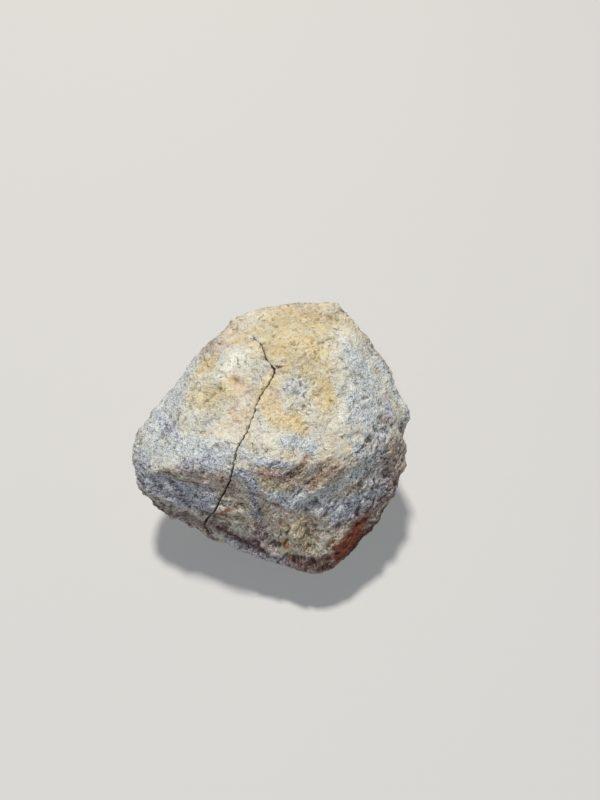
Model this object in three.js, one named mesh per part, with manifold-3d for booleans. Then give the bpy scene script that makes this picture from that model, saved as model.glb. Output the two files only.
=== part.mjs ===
// A whole, uncut geode nodule: one rough stone, closed all round, with a light, gently swelling
// top, a steep broken front, two low side points and a small flat spot that it stands on.
//
// The form is worked out as a distance from the stone's centre for every direction. Named corners
// are wrapped in their convex hull, the hull's edges are rounded by a power mean of its planes, and
// strokes of relief (ledges, hollows, flutes, knobs) raise or sink the skin along short routes.
// The crack that runs over the top and down the front is then cut out as one thin tapered blade.
//
// Millimetres, +Z up, +X along the longest side. The origin is under the middle of the stone, on
// the surface that it stands on.

import * as THREE from 'three';
import { mergeVertices } from 'three/addons/utils/BufferGeometryUtils.js';
import Module from 'manifold-3d';

// ---- driving dimensions -----------------------------------------------------------------------

const SEAT_DEPTH = 20;          // height of the stone's centre above the flat spot
const EDGE_HARDNESS = 34;       // power of the mean that rounds the hull: higher is sharper
const MESH_STEPS = 25;          // squares along one side of the cube that the skin is woven on

const CRACK_WIDTH = 0.4;        // across the crack's mouth
const CRACK_DEPTH = 1.6;        // from the skin to the crack's root
const CRACK_CLEARANCE = 0.8;    // how far the cutting blade stands out of the skin
const CRACK_RUN_OUT = 0.3;      // share of the full width left at each end of the crack
const SHORTEST_EDGE = 0.004;    // slivers that the cut leaves, smaller than this, are closed up

const STONE_COLOUR = 0xbeb7a3;  // chalky cream grey
const STONE_ROUGHNESS = 0.95;

// Corners of the rough block, as seen from the centre of the stone.
const CORNERS = {
  backLeftCrest: [-7.3, 22, 9.5],
  backCrest: [1.5, 25.1, 10],
  backRightCrest: [13, 25.5, 9.5],
  rightCrest: [17.2, 22, 8.9],
  rightShoulder: [19.3, 16.6, 7.9],
  rightHornHigh: [26, 5.8, 3.4],
  rightHorn: [26.3, 3, 2.2],
  rightBrow: [15, -7, 7],
  brow: [1, -9, 7],
  leftBrow: [-18.5, -8, 2.5],
  leftHorn: [-26.2, -1, 0.4],
  leftHeel: [-25.5, -9, -5.5],
  leftToe: [-20, -12.3, -8.8],
  leftKeel: [-9, -16, -10.5],
  chinLeft: [4.6, -22.3, -12.6],
  chinRight: [11.4, -22.3, -12.2],
  rightKeel: [20, -14.5, -9],
  rightHeel: [26, -4.5, -4.5],
  crown: [4, 10, 13.5],
  crownLeft: [-10, 8, 10.5],
  crownRight: [14, 8, 12],
  hipBackLeft: [-19, 12, -1.5],
  backBulgeLeft: [-8.5, 24, 1],
  backBulgeRight: [11, 28, 1.5],
  backLowLeft: [-8, 21.5, -8],
  backLowRight: [11, 25, -8],
  hipBackRight: [24.5, 12.5, -2.5],
  bellyFront: [12, -13, -16.5],
  bellyFrontLeft: [-10, -9.5, -16.5],
  bellyLeft: [-18, 3, -12.5],
  bellyBackLeft: [-9.5, 15, -15],
  bellyBackRight: [13, 18, -14.5],
  bellyRight: [20.5, 3, -13.5],
  seatFront: [4, -5, -21.8],
  seatFrontLeft: [-4.5, -2.5, -21.8],
  seatLeft: [-6.5, 3.5, -21.3],
  seatBackLeft: [-2.5, 9.5, -21.8],
  seatBackRight: [7.5, 10, -21.3],
  seatRight: [10, 3, -21.8],
};

// Strokes of relief: a route over the skin, how wide the stroke spreads to each side of it, and
// how far it lifts the skin (a minus sign sinks it).
const STROKES = [
  // right side
  { name: 'right knob', route: [[26, 5, 3], [26, 2.5, 2]], spread: 2.2, lift: 0.5 },
  { name: 'right notch', route: [[26, 0.5, -1], [25, 1, 1.5]], spread: 2, lift: -1.2 },
  { name: 'right fringe', route: [[25, -4, -4]], spread: 2.2, lift: 0.6 },
  { name: 'crest notch', route: [[20, 15, 7]], spread: 1.6, lift: -0.6 },
  { name: 'shoulder rib', route: [[15.5, 13, 10], [14, 4.5, 10.5]], spread: 2.2, lift: 0.3 },
  { name: 'alcove', route: [[20.5, -1, 4.5], [22, 0, 4]], spread: 1.5, lift: -0.7 },
  { name: 'scallop', route: [[14.5, -5, 7], [16.5, -5, 6]], spread: 1.5, lift: -0.6 },
  { name: 'light ridge', route: [[14, -8, 5], [18, -6, 4], [21.5, -3, 3]], spread: 1.4, lift: 0.4 },
  // front
  { name: 'low flute', route: [[5.5, -12, 2], [10.5, -8.5, 6]], spread: 1.1, lift: -0.5 },
  { name: 'mid flute', route: [[8, -13, 0], [12, -10.5, 2.5]], spread: 1.1, lift: -0.4 },
  { name: 'high flute', route: [[10, -14, -2], [13, -12, 0], [18, -8, 1]], spread: 1.2, lift: -0.5 },
  { name: 'vein valley', route: [[-1, -14.5, -2], [0, -16, -5], [1, -18, -8]], spread: 1.8, lift: -0.7 },
  { name: 'rib left', route: [[3.5, -13.5, 0], [4.5, -16, -4], [5, -18.5, -7]], spread: 1.3, lift: 0.8 },
  { name: 'groove between', route: [[6.5, -14, -1.5], [7, -18, -7]], spread: 1.1, lift: -0.6 },
  { name: 'rib right', route: [[9, -14.5, -2], [9.5, -19, -8]], spread: 1.3, lift: 0.8 },
  { name: 'left shelf shade', route: [[-19, -8.5, 0], [-13, -10.5, 0]], spread: 1.7, lift: -0.4 },
  { name: 'front shelf', route: [[-11.5, -13, -4], [-5.5, -14, -3]], spread: 1.4, lift: 0.5 },
  { name: 'undercut', route: [[-8.5, -16, -8], [-5, -17, -8.5], [1, -18, -8]], spread: 1.6, lift: -0.6 },
  // top
  { name: 'left dent', route: [[-17, 1.5, 5.5], [-20, -1.5, 3.5]], spread: 1.5, lift: -0.8 },
  { name: 'grey knob', route: [[4, 3.5, 11]], spread: 1.4, lift: 0.4 },
  { name: 'crest bump', route: [[-7, 20.5, 9.5]], spread: 1.4, lift: 0.6 },
  { name: 'left edge bulge', route: [[-11, 14.5, 7.5], [-13.5, 12, 5.5]], spread: 2.6, lift: 0.7 },
  // back and underside
  { name: 'back hollow', route: [[-3, 24, 1], [5, 26, 2]], spread: 3.5, lift: -1.1 },
  { name: 'back ledge', route: [[-12, 18, -4], [2, 24, -7], [14, 20, -9]], spread: 1.8, lift: 0.6 },
  { name: 'back rib', route: [[12, 27, 4], [12, 25, -6], [8, 18, -14]], spread: 2.4, lift: 1 },
  { name: 'back step', route: [[-14, 16, 3], [-10, 20, 4], [-6, 23, 5]], spread: 1.5, lift: 0.5 },
  { name: 'back scar', route: [[17, 20, 3], [20, 16, 0]], spread: 2.2, lift: -0.6 },
  { name: 'heel scar', route: [[-4, 18, -13], [3, 20, -13]], spread: 2.6, lift: -0.7 },
  { name: 'right flank hollow', route: [[22, 9, 1], [19, 12, -5]], spread: 2.4, lift: -0.9 },
  { name: 'left ledge', route: [[-22, 6, -2], [-18, 10, -4], [-13, 15, -3]], spread: 1.5, lift: 0.6 },
  { name: 'belly hollow', route: [[14, -10, -14], [18, -4, -13]], spread: 2.6, lift: -0.8 },
  { name: 'belly rib', route: [[-14, -5, -14], [-9, -11, -14]], spread: 1.6, lift: 0.6 },
];

// The crack, from its faint start on the top, over the brow and down to the left keel, and the
// short spur that leaves it where it turns.
const CRACK = [
  [-2.5, 14.5, 11.5], [-1, 13, 12], [0, 9.5, 12], [1.3, 7.5, 12], [1, 5.5, 11.5], [-1, 2.5, 10],
  [-2, 1.5, 9.5], [-2, -0.5, 9], [-3.5, -3.5, 8], [-5.3, -6.8, 6], [-5.8, -9, 5], [-6.2, -10.2, 3],
  [-8, -12, -1], [-9.7, -13.2, -3.5], [-11, -13.7, -5.7], [-12, -14, -7.3], [-11.5, -14.7, -8.5],
  [-10.5, -15.6, -9.8],
];
const SPUR = [[1.3, 7.6, 12], [2.4, 8, 12], [3.9, 8.4, 12.3]];

// ---- the stone's form -------------------------------------------------------------------------

/** The planes of the corners' convex hull: through three corners, with no corner outside. */
function hullPlanes(corners) {
  const planes = [];
  const count = corners.length;
  for (let i = 0; i < count; i++) {
    for (let j = i + 1; j < count; j++) {
      for (let k = j + 1; k < count; k++) {
        const plane = new THREE.Plane().setFromCoplanarPoints(corners[i], corners[j], corners[k]);
        if (plane.constant > 0) plane.negate();
        const isFace = plane.constant < -1 && corners.every((c) => plane.distanceToPoint(c) < 1e-6);
        if (isFace) planes.push(plane);
      }
    }
  }
  return planes;
}

const PLANES = hullPlanes(Object.values(CORNERS).map((c) => new THREE.Vector3(...c)));

/** Distance from the centre to the rounded hull along a unit direction, before the relief. */
function blockRadius(direction) {
  let sum = 0;
  for (const plane of PLANES) {
    const reach = plane.normal.dot(direction) / -plane.constant;
    if (reach > 0) sum += reach ** EDGE_HARDNESS;
  }
  return sum ** (-1 / EDGE_HARDNESS);
}

/** A point moved along its own direction onto the rounded hull. */
function ontoBlock(point) {
  const direction = new THREE.Vector3(...point).normalize();
  return direction.multiplyScalar(blockRadius(direction));
}

/** Shortest distance from a point to a route of one or more points. */
function distanceToRoute(point, route) {
  if (route.length === 1) return point.distanceTo(route[0]);
  const near = new THREE.Vector3();
  let best = Infinity;
  for (let i = 1; i < route.length; i++) {
    new THREE.Line3(route[i - 1], route[i]).closestPointToPoint(point, true, near);
    best = Math.min(best, point.distanceTo(near));
  }
  return best;
}

const RELIEF = STROKES.map((stroke) => ({ ...stroke, route: stroke.route.map(ontoBlock) }));

/** Distance from the centre to the finished skin: rounded hull, relief, then the flat spot. */
function skinRadius(direction) {
  let radius = blockRadius(direction);
  const onBlock = direction.clone().multiplyScalar(radius);
  for (const { route, spread, lift } of RELIEF) {
    const distance = distanceToRoute(onBlock, route);
    radius += lift * Math.exp(-((distance / spread) ** 2));
  }
  if (direction.z < 0) radius = Math.min(radius, SEAT_DEPTH / -direction.z);
  return radius;
}

/** Splits each square of the grid along the diagonal that stands further out, to keep edges clean. */
function turnDiagonals(geometry) {
  const { position } = geometry.attributes;
  const index = geometry.index.array;
  const corner = (i) => new THREE.Vector3().fromBufferAttribute(position, i);
  for (let i = 0; i < index.length; i += 6) {
    const [a, b, d, , c] = index.slice(i, i + 6);
    const reachAC = corner(a).add(corner(c)).length();
    const reachBD = corner(b).add(corner(d)).length();
    if (reachAC > reachBD) index.set([a, b, c, a, c, d], i);
  }
}

/** The stone's skin: a cube's surface grid pushed out to the skin radius, with shared vertices. */
function skinGeometry() {
  const box = new THREE.BoxGeometry(2, 2, 2, MESH_STEPS, MESH_STEPS, MESH_STEPS);
  box.deleteAttribute('normal');
  box.deleteAttribute('uv');
  const geometry = mergeVertices(box, 1e-5);
  const position = geometry.attributes.position;
  const point = new THREE.Vector3();
  for (let i = 0; i < position.count; i++) {
    point.fromBufferAttribute(position, i);
    point.set(...point.toArray().map((value) => Math.tan(value * Math.PI / 4))).normalize();
    point.multiplyScalar(skinRadius(point));
    position.setXYZ(i, point.x, point.y, point.z);
  }
  turnDiagonals(geometry);
  return geometry;
}

/** A cutting blade along a route: V sections, mouth out and root in, thinner at both ends. */
function bladeGeometry(route) {
  const spine = route.map((p) => {
    const direction = new THREE.Vector3(...p).normalize();
    return direction.multiplyScalar(skinRadius(direction));
  });
  const last = spine.length - 1;
  const vertices = [];
  spine.forEach((point, i) => {
    const along = spine[Math.min(i + 1, last)].clone().sub(spine[Math.max(i - 1, 0)]).normalize();
    const outward = point.clone().normalize();
    const across = along.cross(outward).normalize();
    const swell = Math.sin(Math.PI * (i + 0.5) / (last + 1)) ** 0.5;
    const fullness = CRACK_RUN_OUT + (1 - CRACK_RUN_OUT) * swell;
    const depth = CRACK_DEPTH * fullness;
    const halfMouth = CRACK_WIDTH / 2 * fullness * (depth + CRACK_CLEARANCE) / depth;
    const mouth = point.clone().addScaledVector(outward, CRACK_CLEARANCE);
    const left = mouth.clone().addScaledVector(across, -halfMouth);
    const right = mouth.clone().addScaledVector(across, halfMouth);
    const root = point.clone().addScaledVector(outward, -depth);
    vertices.push(...left.toArray(), ...right.toArray(), ...root.toArray());
  });
  const faces = [0, 2, 1, 3 * last, 3 * last + 1, 3 * last + 2];
  for (let i = 0; i < last; i++) {
    for (let side = 0; side < 3; side++) {
      const a = 3 * i + side;
      const b = 3 * i + (side + 1) % 3;
      faces.push(a, b, a + 3, b, b + 3, a + 3);
    }
  }
  const geometry = new THREE.BufferGeometry();
  geometry.setAttribute('position', new THREE.Float32BufferAttribute(vertices, 3));
  geometry.setIndex(faces);
  return geometry;
}

// ---- joining and cutting ----------------------------------------------------------------------

const wasm = await Module();
wasm.setup();

/** A closed geometry with shared vertices as a solid that can be cut. */
function solidFrom(geometry) {
  const mesh = new wasm.Mesh({
    numProp: 3,
    vertProperties: new Float32Array(geometry.attributes.position.array),
    triVerts: new Uint32Array(geometry.index.array),
  });
  return new wasm.Manifold(mesh);
}

/** A solid back as a geometry. */
function geometryFrom(solid) {
  const mesh = solid.getMesh();
  const geometry = new THREE.BufferGeometry();
  geometry.setAttribute('position', new THREE.Float32BufferAttribute(mesh.vertProperties, 3));
  geometry.setIndex(Array.from(mesh.triVerts));
  return geometry;
}

/** The stone with its crack and the spur cut into it, standing over the origin. */
function stoneGeometry() {
  const skin = solidFrom(skinGeometry());
  const cracked = skin.subtract(solidFrom(bladeGeometry(CRACK)));
  const branched = cracked.subtract(solidFrom(bladeGeometry(SPUR)));
  const geometry = geometryFrom(branched.simplify(SHORTEST_EDGE));
  geometry.computeBoundingBox();
  const { min, max } = geometry.boundingBox;
  geometry.translate(-(min.x + max.x) / 2, -(min.y + max.y) / 2, SEAT_DEPTH);
  geometry.computeVertexNormals();
  return geometry;
}

const geode = new THREE.Mesh(
  stoneGeometry(),
  new THREE.MeshStandardMaterial({ color: STONE_COLOUR, roughness: STONE_ROUGHNESS, metalness: 0 }),
);
geode.name = 'geode';

const stone = new THREE.Group();
stone.add(geode);

export default stone;
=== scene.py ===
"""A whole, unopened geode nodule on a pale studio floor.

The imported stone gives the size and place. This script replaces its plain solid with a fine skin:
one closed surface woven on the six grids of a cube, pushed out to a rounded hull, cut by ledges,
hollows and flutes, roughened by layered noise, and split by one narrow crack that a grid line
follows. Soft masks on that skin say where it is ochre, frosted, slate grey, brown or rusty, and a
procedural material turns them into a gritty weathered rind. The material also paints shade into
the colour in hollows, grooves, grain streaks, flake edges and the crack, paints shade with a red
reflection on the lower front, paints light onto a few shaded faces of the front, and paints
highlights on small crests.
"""

import itertools
import logging
from collections.abc import Callable, Iterator
from dataclasses import dataclass, field
from enum import Enum

import bpy
import numpy as np
from mathutils import Euler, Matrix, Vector


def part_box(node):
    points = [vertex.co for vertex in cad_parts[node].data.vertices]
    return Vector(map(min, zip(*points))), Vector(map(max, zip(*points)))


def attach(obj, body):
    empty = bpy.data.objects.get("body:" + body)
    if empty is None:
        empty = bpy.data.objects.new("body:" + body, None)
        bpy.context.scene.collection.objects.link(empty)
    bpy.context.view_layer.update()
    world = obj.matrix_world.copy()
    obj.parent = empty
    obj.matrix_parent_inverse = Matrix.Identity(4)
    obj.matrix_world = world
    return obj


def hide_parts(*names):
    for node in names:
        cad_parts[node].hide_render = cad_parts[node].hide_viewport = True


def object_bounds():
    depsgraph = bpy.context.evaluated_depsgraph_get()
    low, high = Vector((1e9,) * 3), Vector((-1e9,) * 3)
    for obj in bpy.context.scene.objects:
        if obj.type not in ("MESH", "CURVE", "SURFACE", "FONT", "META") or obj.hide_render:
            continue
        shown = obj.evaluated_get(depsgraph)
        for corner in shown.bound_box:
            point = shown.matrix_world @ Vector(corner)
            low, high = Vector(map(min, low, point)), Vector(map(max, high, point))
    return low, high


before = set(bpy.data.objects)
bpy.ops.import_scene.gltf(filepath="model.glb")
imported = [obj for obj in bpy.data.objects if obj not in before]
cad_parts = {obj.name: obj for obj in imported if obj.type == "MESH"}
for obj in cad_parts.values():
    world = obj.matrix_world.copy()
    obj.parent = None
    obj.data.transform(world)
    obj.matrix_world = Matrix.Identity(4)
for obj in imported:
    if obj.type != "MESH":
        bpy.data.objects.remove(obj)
CAD_BOX = [list(corner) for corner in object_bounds()]

LOG = logging.getLogger("geode")
Point = tuple[float, float, float]
Colour = tuple[float, float, float]
Socket = bpy.types.NodeSocket

MM = 0.001                       # one millimetre in scene units
NODE = "geode"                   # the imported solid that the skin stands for
STONE_NAME = "geode_skin"


# ---- numbers that repeat: noise worked out from whole-number cells ------------------------------

CELL_FACTORS = (73856093, 19349663, 83492791)    # large odd numbers, one for each axis
SEED_FACTOR = 2654435761
MIX_STEPS = ((15, 0x2C1B3C6D), (12, 0x297A2D39))    # a shift and the factor that follows it
LAST_SHIFT = 15
WORD = 2**32                                     # how many numbers 32 bits can hold


def cell_numbers(cells: np.ndarray, seed: int, count: int) -> list[np.ndarray]:
    """Random-looking numbers for whole-number cells, the same every run.

    Formula: the three cell numbers and the seed are multiplied by large odd numbers and mixed by
    exclusive-or, shifts and further multiplying, in 32-bit arithmetic.

    Args:
        cells: Whole numbers, shape (..., 3).
        seed: Chooses one of many patterns.
        count: How many numbers each cell gets.

    Returns:
        ``count`` arrays of numbers from 0 to 1, each of shape (...).
    """
    whole = cells.astype(np.int64).astype(np.uint32)
    mixed = np.full(whole.shape[:-1], seed * SEED_FACTOR % WORD, dtype=np.uint32)
    for axis, factor in enumerate(CELL_FACTORS):
        mixed = mixed ^ whole[..., axis] * np.uint32(factor)
    numbers = []
    for _ in range(count):
        for shift, factor in MIX_STEPS:
            mixed = (mixed ^ (mixed >> np.uint32(shift))) * np.uint32(factor)
        mixed = mixed ^ (mixed >> np.uint32(LAST_SHIFT))
        numbers.append(mixed.astype(np.float64) / WORD)
    return numbers


@dataclass(frozen=True)
class Noise:
    """Noise that is the same every run, read at places on the stone.

    Attributes:
        points: Places in millimetres, shape (n, 3).
        size: Width of one cell in millimetres.
        seed: Chooses the pattern.
    """

    points: np.ndarray
    size: float
    seed: int

    def ripple(self) -> np.ndarray:
        """Smooth gradient noise, about -1 to 1.

        Formula: each corner of the point's cell has a random slope; the eight slopes' heights are
        blended with a fifth-order fade.

        Returns:
            One number for each point, as from every kind of noise here.
        """
        gain = 1.5
        place = self.points / self.size
        base = np.floor(place)
        part = place - base
        fade = part**3 * (part * (part * 6 - 15) + 10)
        total = np.zeros(len(place))
        for corner in itertools.product((0, 1), repeat=3):
            offset = np.array(corner)
            slopes = np.stack(cell_numbers(base + offset, self.seed, 3), axis=-1) * 2 - 1
            share = np.prod(np.where(offset == 1, fade, 1 - fade), axis=-1)
            total += share * ((part - offset) * slopes).sum(axis=-1)
        return total * gain

    def summed(self, layers: int, keep: float, seed_step: int,
               shape: Callable[[np.ndarray], np.ndarray]) -> np.ndarray:
        """Ripples in layers, each half as wide and ``keep`` times as high as the one before.

        Args:
            layers: How many layers are added.
            keep: Height of each layer against the one before.
            seed_step: From one layer's seed to the next one's.
            shape: Turns a layer's ripple into its height.

        Returns:
            The sum of the layers, over the sum of their heights.
        """
        total, height, reach = 0.0, 1.0, 0.0
        for layer in range(layers):
            ripple = Noise(self.points, self.size / 2**layer, self.seed + seed_step * layer).ripple()
            total = total + height * shape(ripple)
            reach += height
            height *= keep
        return total / reach

    def layered(self, layers: int = 4, keep: float = 0.5) -> np.ndarray:
        """Ripples in layers, about -1 to 1."""
        gain, seed_step = 1.4, 17
        return gain * self.summed(layers, keep, seed_step, lambda ripple: ripple)

    def creased(self, layers: int) -> np.ndarray:
        """Layers of one minus twice the size of a ripple, so that sharp ridges stand out at 1."""
        keep, seed_step = 0.5, 29
        return self.summed(layers, keep, seed_step, lambda ripple: 1 - 2 * np.abs(ripple))

    def cells_near(self, count: int) -> Iterator[tuple[np.ndarray, list[np.ndarray]]]:
        """The 27 cells around each point, each with its centre at a random place in it.

        Args:
            count: How many random numbers each cell gives besides its centre.

        Yields:
            For one neighbour cell of all points: the points less its centre, in cells, and its
            numbers.
        """
        place = self.points / self.size
        base = np.floor(place)
        for corner in itertools.product((-1, 0, 1), repeat=3):
            cell = base + np.array(corner)
            numbers = cell_numbers(cell, self.seed, 3 + count)
            yield place - (cell + np.stack(numbers[:3], axis=-1)), numbers[3:]

    def chipped(self, sharp: float) -> np.ndarray:
        """Flat chips at random tilts, as on broken stone, about -1 to 1.

        Formula: every cell holds one centre with a random slope and height. A point takes the mean
        of the nearby planes, weighted by exp(-sharp * squared distance), so the nearest rules.

        Args:
            sharp: How quickly one chip gives way to the next.

        Returns:
            One height for each point.
        """
        gain, least_weight, steps_between = 1.3, 1e-12, 0.6
        weight_sum = np.full(len(self.points), least_weight)
        height_sum = np.zeros(len(self.points))
        for away, (*slopes, lift) in self.cells_near(4):
            slope = np.stack(slopes, axis=-1) * 2 - 1
            weight = np.exp(-sharp * (away**2).sum(axis=-1))
            weight_sum += weight
            height_sum += weight * ((away * slope).sum(axis=-1) + steps_between * (lift - 0.5))
        return height_sum / weight_sum * gain

    def pitted(self, share: float) -> np.ndarray:
        """Depth of small round pits, 0 to 1, in a share of the cells.

        Formula: for the nearest centre that holds a pit, 1 there falling to 0 at its rim, a
        quarter to a half of a cell away, along a smooth bowl.

        Args:
            share: How many of the cells hold a pit, 0 to 1.

        Returns:
            One depth for each point.
        """
        narrowest, widening = 0.25, 0.3
        depth = np.zeros(len(self.points))
        for away, (chance, width) in self.cells_near(2):
            distance = np.sqrt((away**2).sum(axis=-1))
            bowl = smooth_step(distance / (narrowest + widening * width), 1, 0)
            depth = np.maximum(depth, np.where(chance < share, bowl, 0))
        return depth


def drawn_out(points: np.ndarray, way: Point, stretch: float) -> np.ndarray:
    """Points squeezed along a direction, so that noise read at them is drawn out along it.

    Formula: p minus (1 - 1/stretch) times its part along the unit direction.

    Args:
        points: Places in millimetres, shape (n, 3).
        way: The direction of the grain.
        stretch: How many times longer the noise becomes.

    Returns:
        The squeezed places.
    """
    unit = np.array(way) / np.linalg.norm(way)
    return points - (1 - 1 / stretch) * (points @ unit)[:, None] * unit


def smooth_step(value: np.ndarray, low: float, high: float) -> np.ndarray:
    """0 below ``low``, 1 above ``high`` and an s-curve between; ``low`` may be the larger one."""
    part = np.clip((value - low) / (high - low), 0, 1)
    return part * part * (3 - 2 * part)


# ---- routes over the stone ----------------------------------------------------------------------

GRAIN_RIGHT: Point = (3.3, 2.5, 2.3)     # the stone's grain right of the vein
GRAIN_LEFT: Point = (10.5, -3, 1.4)      # and left of it
GRAIN_STRETCH = 3.0                      # how many times longer than wide its streaks are
LEDGE_LIP = 0.5                          # millimetres over which a ledge's lip turns down


def route_distance(points: np.ndarray, route: np.ndarray) -> tuple[np.ndarray, np.ndarray]:
    """Shortest way from each point to a route of one or more points.

    Args:
        points: Places in millimetres, shape (n, 3).
        route: The route's points, shape (m, 3).

    Returns:
        The distances, shape (n,), and the offsets from the route's nearest place, shape (n, 3).
    """
    least_run = 1e-9
    best = np.full(len(points), np.inf)
    offset = np.zeros_like(points)
    ends = route if len(route) == 1 else route[1:]
    for start, end in zip(route[: len(ends)], ends):
        run = end - start
        along = np.clip((points - start) @ run / max(run @ run, least_run), 0, 1)
        away = points - (start + along[:, None] * run)
        distance = np.sqrt((away**2).sum(axis=1))
        nearer = distance < best
        best = np.where(nearer, distance, best)
        offset = np.where(nearer[:, None], away, offset)
    return best, offset


@dataclass(frozen=True)
class Stroke:
    """One mark of relief along a short route, such as a hollow, a ridge or a ledge.

    Attributes:
        name: What the mark is.
        route: Points near the skin, in millimetres from the stone's centre.
        spread: How far it reaches to each side, in millimetres.
        lift: How far it raises the skin, or sinks it where negative, in millimetres.
        raised_side: For a ledge, the direction of its upper side. A swell or hollow has none.
    """

    name: str
    route: tuple[Point, ...]
    spread: float
    lift: float
    raised_side: Point | None = None

    def height(self, points: np.ndarray, route: np.ndarray) -> np.ndarray:
        """Lift at each point.

        Formula: lift * exp(-(distance / spread)^2); a ledge multiplies that by tanh of the signed
        distance across it over its lip's width, so it is up on one side and down on the other.

        Args:
            points: Places on the rounded hull, shape (n, 3).
            route: This stroke's route moved onto the hull.

        Returns:
            Heights in millimetres.
        """
        distance, offset = route_distance(points, route)
        rise = self.lift * np.exp(-((distance / self.spread) ** 2))
        if self.raised_side is None:
            return rise
        side = np.array(self.raised_side) / np.linalg.norm(self.raised_side)
        return rise * np.tanh(offset @ side / LEDGE_LIP)


class Tone(Enum):
    """The colours on the rind, one mask each: mostly weathering stains, but the dark red tone and the
    violet-brown tone on the lower front are painted shade with a painted red reflection.
    """

    OCHRE = "ochre"
    GOLD = "gold"
    BLUSH = "blush"
    CHALK = "chalk"
    FROST = "frost"
    SLATE = "slate"
    UMBER = "umber"
    MAUVE_AND_PAINTED_SHADE = "mauve_and_painted_shade"
    RUST = "rust"
    PAINTED_RED_SHADE = "painted_red_shade"


@dataclass(frozen=True)
class Stain:
    """A soft patch of one tone around a route.

    Attributes:
        tone: Which mask it adds to.
        spread: Radius of the patch in millimetres.
        strength: Mask at its middle, 0 to 1.
        route: Points near the skin, in millimetres from the stone's centre.
    """

    tone: Tone
    spread: float
    strength: float
    route: tuple[Point, ...]


def stains(tone: Tone, *rows: tuple[float | Point, ...]) -> list[Stain]:
    """Stains of one tone, from rows of a spread, a strength and then the route's points."""
    return [Stain(tone, spread, strength, tuple(route)) for spread, strength, *route in rows]


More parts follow.
